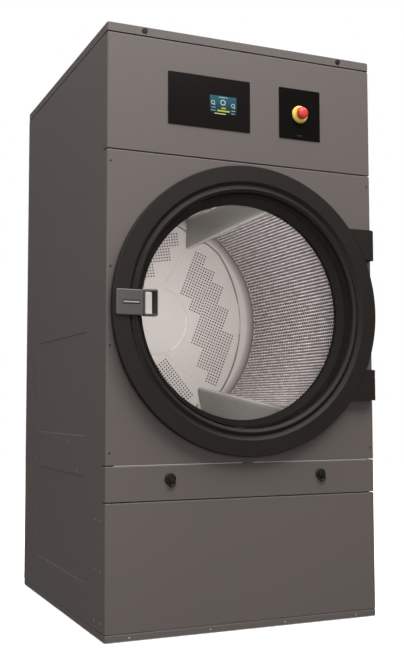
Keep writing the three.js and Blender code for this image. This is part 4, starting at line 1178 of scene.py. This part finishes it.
def perforated_strip(bm, u0, v0, v1, turn, y):
    """A strip of sheet with real holes."""
    rows = round((v1 - v0) / HOLE_PITCH)
    corners = {}

    def corner(i, j):
        if (i, j) not in corners:
            across, up = field_point(u0 + HOLE_PITCH * i, v0 + HOLE_PITCH * j, turn)
            corners[i, j] = bm.verts.new(P(DRUM_X + across, y, DRUM_Z + up))
        return corners[i, j]

    for i in range(STRIP_HOLES):
        for j in range(rows):
            rim, lip = [], []
            u = u0 + HOLE_PITCH * (i + 0.5)
            v = v0 + HOLE_PITCH * (j + 0.5)
            for k in range(8):
                a = TAU * (k + 0.5) / 8
                for ring, radius, depth in ((rim, HOLE_RADIUS, 0), (lip, HOLE_RADIUS * 0.9, 0.7)):
                    across, up = field_point(u + radius * math.cos(a), v + radius * math.sin(a), turn)
                    ring.append(bm.verts.new(P(DRUM_X + across, y + depth, DRUM_Z + up)))
            c = [corner(i + 1, j + 1), corner(i, j + 1), corner(i, j), corner(i + 1, j)]
            for q in range(4):
                following = c[(q + 1) % 4]
                bm.faces.new((c[q], rim[2 * q + 1], rim[2 * q]))
                bm.faces.new((c[q], following, rim[(2 * q + 2) % 8], rim[2 * q + 1]))
            bridge(bm, rim, lip)


def field_border():
    """The stepped outline round all the strips of one field, anticlockwise in the tilted frame."""
    lower, upper = [], []
    for u0, v0, v1 in FIELD_STRIPS:
        top = v0 + round((v1 - v0) / HOLE_PITCH) * HOLE_PITCH
        far = u0 + STRIP_HOLES * HOLE_PITCH
        lower += [(u0, v0), (far, v0)]
        upper += [(u0, top), (far, top)]
    return lower + upper[::-1]


def build_drum_back():
    """The drum's back: a raised hub and spokes, three recessed fields with holes, and a rolled rim."""
    y = span("drum_back_plate")[1] + HUB_RISE
    centre = P(DRUM_X, y, DRUM_Z)
    dish = [(0, 0), (1.0, 0.4), (2.0, 2.2), (4.6, 2.5), (6.4, 1.8), (7.6, 1.0)]
    low = y + dish[-1][1]
    bm = bmesh.new()

    def ring(points, depth):
        return loop_verts(bm, [P(DRUM_X + u, y + depth, DRUM_Z + v) for u, v in points])

    def spin(points, turn):
        c, s = math.cos(turn), math.sin(turn)
        return [(a * c - b * s, a * s + b * c) for a, b in points]

    def since(count):
        bm.faces.ensure_lookup_table()
        return bm.faces[count:]

    rim_r = DRUM_R - 36
    outside = ring(circle(0, 0, rim_r, RING_STEPS)(), 0)
    hub_low = ring(circle(0, 0, HUB_R - 5, 96)(), 0)
    fields = []
    for k in range(3):
        outline = spin(sector_outline(), TAU * k / 3)
        fields.append([ring(offset(outline, inset), depth) for inset, depth in dish])
    fill(bm, outside, hub_low, *[rings[0] for rings in fields])
    for k, rings in enumerate(fields):
        turn = TAU * k / 3
        before = len(bm.faces)
        skin(bm, rings)
        # the outer part of each field's edge groove gets a darker steel: painted shade
        for face in since(before):
            away = face.calc_center_median() - centre
            face.material_index = 1 if Vector((away.x, away.z)).length > GROOVE_SHADE_FROM else 0
        places = [field_point(u, v, turn) for u, v in field_border()]
        fill(bm, rings[-1], loop_verts(bm, [P(DRUM_X + a, low, DRUM_Z + b) for a, b in places]))
        for u0, v0, v1 in FIELD_STRIPS:
            perforated_strip(bm, u0, v0, v1, turn, low)
    hub = (
        (144, 0.3), (142.5, 1.4), (139.5, 3.0), (136, 3.7), (131, HUB_RISE), (129, HUB_RISE), (44, HUB_RISE),
        (42, HUB_RISE), (40, 3.4),
    )
    previous = hub_low
    for radius, lift in hub:
        before = len(bm.faces)
        current = ring(circle(0, 0, radius, 96)(), -lift)
        bridge(bm, previous, current)
        previous = current
        # a painted highlight on the steep part of the hub's edge, where it faces right and down
        for face in since(before) if 135 < radius < 142 else ():
            away = (face.calc_center_median() - centre).normalized()
            face.material_index = 2 if 0.92 * away.x - 0.4 * away.z > 0.82 else 0
    bm.faces.new(previous)
    bmesh.ops.remove_doubles(bm, verts=bm.verts, dist=1e-6)
    more = (GROOVE_SHADE_STEEL, HUB_HIGHLIGHT_STEEL)
    new_object("drum_back_face", bm, STAINLESS, "drum", ("drum_back_plate",), more=more)
    edge = DRUM_R + 1.4
    rolled = [
        (rim_r - 0.2, 0), (rim_r + 10, 0.1), (rim_r + 20, 0.5), (rim_r + 28, 1.1), (rim_r + 34, 1.8),
        (edge, 2.5),
        (edge, 2.8), (rim_r - 0.2, 2.8),
    ]
    # a dark disc behind the back plate's holes: painted shade
    cover = [(0, 2.95), (edge, 2.95), (edge, 2.85), (0, 2.85)]
    pieces = (("drum_back_rim", rolled, RIM_STEEL), ("drum_back_shade", cover, SHADE_BACKING))
    for name, outline, material in pieces:
        bm = bmesh.new()
        lathe(bm, [(radius, y + depth) for radius, depth in outline], DRUM_X, DRUM_Z, RING_STEPS)
        new_object(name, bm, material, "drum")


LIFTER_ANGLES = (65, -55, -175)
LIFTER_BASE = 62  # half its width at the wall
LIFTER_TWIST = -5.8  # degrees at the drum's mouth
LIFTER_TIP = (426, 342)  # radius of the crest at the mouth and at the back
# half of a lifter's section as (part of the base, part of the height), from the foot to the crest
LIFTER_HALF = (
    (1, 0.012), (0.92, 0.03), (0.84, 0.1), (0.6, 0.42), (0.38, 0.72), (0.26, 0.87), (0.17, 0.95),
    (0.08, 0.99),
)


def build_lifter(index):
    """A folded stainless lifter with a round crest and closed ends. It tapers towards the drum's mouth."""
    _, y0, _, _, y1, _ = span(f"drum_lifter_{index}")
    section = [(-a, b) for a, b in LIFTER_HALF] + [(0, 1)] + list(reversed(LIFTER_HALF))
    # the first and the last stations round the ends off
    stations = [(0.0, 0.9), (0.004, 0.965), (0.012, 1.0)] + [(k / 24, 1.0) for k in range(1, 24)]
    stations += [(0.994, 1.0), (1.0, 1.0)]
    wall = DRUM_R - 0.6
    bm = bmesh.new()
    rows = []
    for t, squeeze in stations:
        tip = LIFTER_TIP[0] + (LIFTER_TIP[1] - LIFTER_TIP[0]) * t
        turn = math.radians(LIFTER_ANGLES[index - 1] + LIFTER_TWIST * (1 - t))
        c, s = math.cos(turn), math.sin(turn)
        points = []
        for width, height in section:
            across = width * LIFTER_BASE
            base = math.sqrt(wall ** 2 - across ** 2)
            radius = base + (tip - base) * height * squeeze
            x, z = radius * c + across * s, radius * s - across * c
            points.append(P(DRUM_X + x, y0 + (y1 - y0) * t, DRUM_Z + z))
        rows.append(loop_verts(bm, points))
    skin(bm, rows)
    bm.faces.new(rows[0])
    bm.faces.new(rows[-1])
    # the faces along the crest get a lighter copy of the lifter steel: a painted highlight
    crest = {v for row in rows for v, (width, _) in zip(row, section) if abs(width) < 0.1}
    for face in bm.faces:
        if all(v in crest for v in face.verts):
            face.material_index = 1
    node = f"drum_lifter_{index}"
    new_object(f"lifter_{index}", bm, LIFTER, "drum", (node,), 50, (CREST_HIGHLIGHT,))


build_drum_body()
build_drum_back()
for number in (1, 2, 3):
    build_lifter(number)


# ------------------------------------------------------------------ parts that stay as in the CAD
CARRIED = (
    (RUBBER, "rubber", (*[f"levelling_foot_{k}" for k in (1, 2, 3, 4)], "drive_belt")),
    (GALVANISED, "galvanised", (
        "lint_tray", "front_bulkhead", "rear_bulkhead", "control_shelf", "heater_box", "fan_housing",
    )),
    (STEEL, "machined_steel", (
        "drum_shaft", "bearing_front", "bearing_rear", "hinge_pin_upper", "hinge_pin_lower", "motor_pulley",
    )),
    (IRON, "cast_iron", ("bearing_housing", "drive_motor", "fan_motor")),
    (ALUMINIUM, "aluminium", ("fan_wheel", "drum_pulley")),
)


def finish_cad_nodes():
    """The CAD nodes that are still shown get materials, and small bevels that catch the light."""
    for material, slot, names in CARRIED:
        for name in names:
            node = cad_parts[name]
            node.data.materials.clear()
            node.data.materials.append(material)
            bevel = node.modifiers.new("edges", "BEVEL")
            bevel.width = 0.6 * MM
            bevel.segments = 2
            bevel.limit_method = "ANGLE"
            bevel.angle_limit = math.radians(50)
            bevel.use_clamp_overlap = True


finish_cad_nodes()


# ------------------------------------------------------------------ floor, light, camera
def floor_sheet(name, colour):
    """A pale studio sweep, which gets brighter away from the machine until it meets the white background."""
    n = Nodes(name)
    away = n.vector("LENGTH", {0: n.place})["Value"]
    n.look({
        "Specular IOR Level": 0.2,
        "Emission Color": colour,
        "Emission Strength": n.ramp(away, 0.8, 3.0, 0.3, 1.0),
        "Base Color": n.blend(n.spread(n.noise(3), 0, 1), shade(colour, 0.99), shade(colour, 1.01)),
    })
    n.grain(40, 0.76, 0.84, 0.35, 0.0001)
    return n.block


def build_floor():
    bm = bmesh.new()
    bmesh.ops.create_circle(bm, cap_ends=True, segments=96, radius=9)
    mesh = bpy.data.meshes.new("floor")
    bm.to_mesh(mesh)
    bm.free()
    floor = bpy.data.objects.new("floor", mesh)
    bpy.context.scene.collection.objects.link(floor)
    mesh.materials.append(floor_sheet("pale_floor", rgb(250, 249, 248)))
    # the machine isn't lit by the floor, so that its lower panels stay as dark as in soft studio light
    floor.visible_diffuse = False
    floor.visible_glossy = False


# strength of the light from all round, and the lamps' power in watts
LIT_ABOVE = 0.05
LIT_BELOW = 0.24
OVERHEAD = 850
KEY = 54
FRONT_FILL = 54
SIDE_FILL = 0.85
DRUM_LIGHT = 5.5


def build_world():
    n = Nodes("studio", bpy.data.worlds)
    bpy.context.scene.world = n.block
    seen = n.tree.nodes["Background"]
    n.feed(seen, {"Color": (1, 1, 1, 1), "Strength": 1.0})
    # the lamps light the machine from above, so the light from all round comes more from below
    level = n.add("SeparateXYZ", {"Vector": n.coords["Generated"]}).outputs["Z"]
    strength = n.ramp(level, -0.25, 0.25, LIT_BELOW, LIT_ABOVE)
    lit = n.add("Background", {"Color": (1.0, 0.98, 0.97, 1), "Strength": strength})
    n.mix(n.add("LightPath").outputs["Is Camera Ray"], lit, seen, "World Output")


def area_light(name, place_at, look_at, size, power, colour=(1, 1, 1)):
    light = bpy.data.lights.new(name, "AREA")
    light.shape = "RECTANGLE"
    light.size, light.size_y = size
    light.energy = power
    light.color = colour
    obj = bpy.data.objects.new(name, light)
    obj.location = place_at
    obj.rotation_euler = (Vector(look_at) - Vector(place_at)).to_track_quat("-Z", "Y").to_euler()
    bpy.context.scene.collection.objects.link(obj)
    obj.visible_camera = False
    return obj


def build_lights():
    area_light("overhead", (0, -1.2, 5.2), (0, -1.2, 0), (8, 8), OVERHEAD)
    area_light("key", (0.3, -3.6, 4.0), P(0, 0, 1300), (2.6, 1.6), KEY, (1.0, 0.99, 0.98))
    area_light("front_fill", (-1.5, -4.1, 1.2), P(0, 0, 500), (2.6, 1.6), FRONT_FILL, (1.0, 0.99, 0.98))
    side = area_light("side_fill", (-4.4, 0.6, 4.2), P(-HALF, 350, 1500), (2.5, 2.0), SIDE_FILL)
    side.data.spread = math.radians(30)
    mouth = P(DRUM_X, 75, DRUM_Z + 20)
    inside = area_light("drum_light", mouth, P(DRUM_X - 50, 868, DRUM_Z + 10), (0.5, 0.4), DRUM_LIGHT)
    inside.data.spread = math.radians(160)
    inside.visible_glossy = False


CAMERA_AT = (-1403.7, -2863.5, 730.2)
CAMERA_TURN = 0.4086  # radians
CAMERA_RISE = 0.0741
CAMERA_ROLL = -0.0019
CAMERA_LENS = 51.43


def build_camera():
    camera = bpy.data.cameras.new("camera")
    camera.lens = CAMERA_LENS
    camera.sensor_width = 36
    camera.sensor_fit = "AUTO"
    camera.clip_start = 0.05
    camera.clip_end = 60
    obj = bpy.data.objects.new("camera", camera)
    obj.location = P(*CAMERA_AT)
    turn = Matrix.Rotation(-CAMERA_TURN, 4, "Z") @ Matrix.Rotation(math.pi / 2 + CAMERA_RISE, 4, "X")
    obj.rotation_euler = (turn @ Matrix.Rotation(CAMERA_ROLL, 4, "Z")).to_euler()
    bpy.context.scene.collection.objects.link(obj)
    bpy.context.scene.camera = obj


build_floor()
build_world()
build_lights()
build_camera()

settings = bpy.context.scene.view_settings
settings.view_transform = "Standard"
settings.look = "None"

bpy.context.view_layer.update()
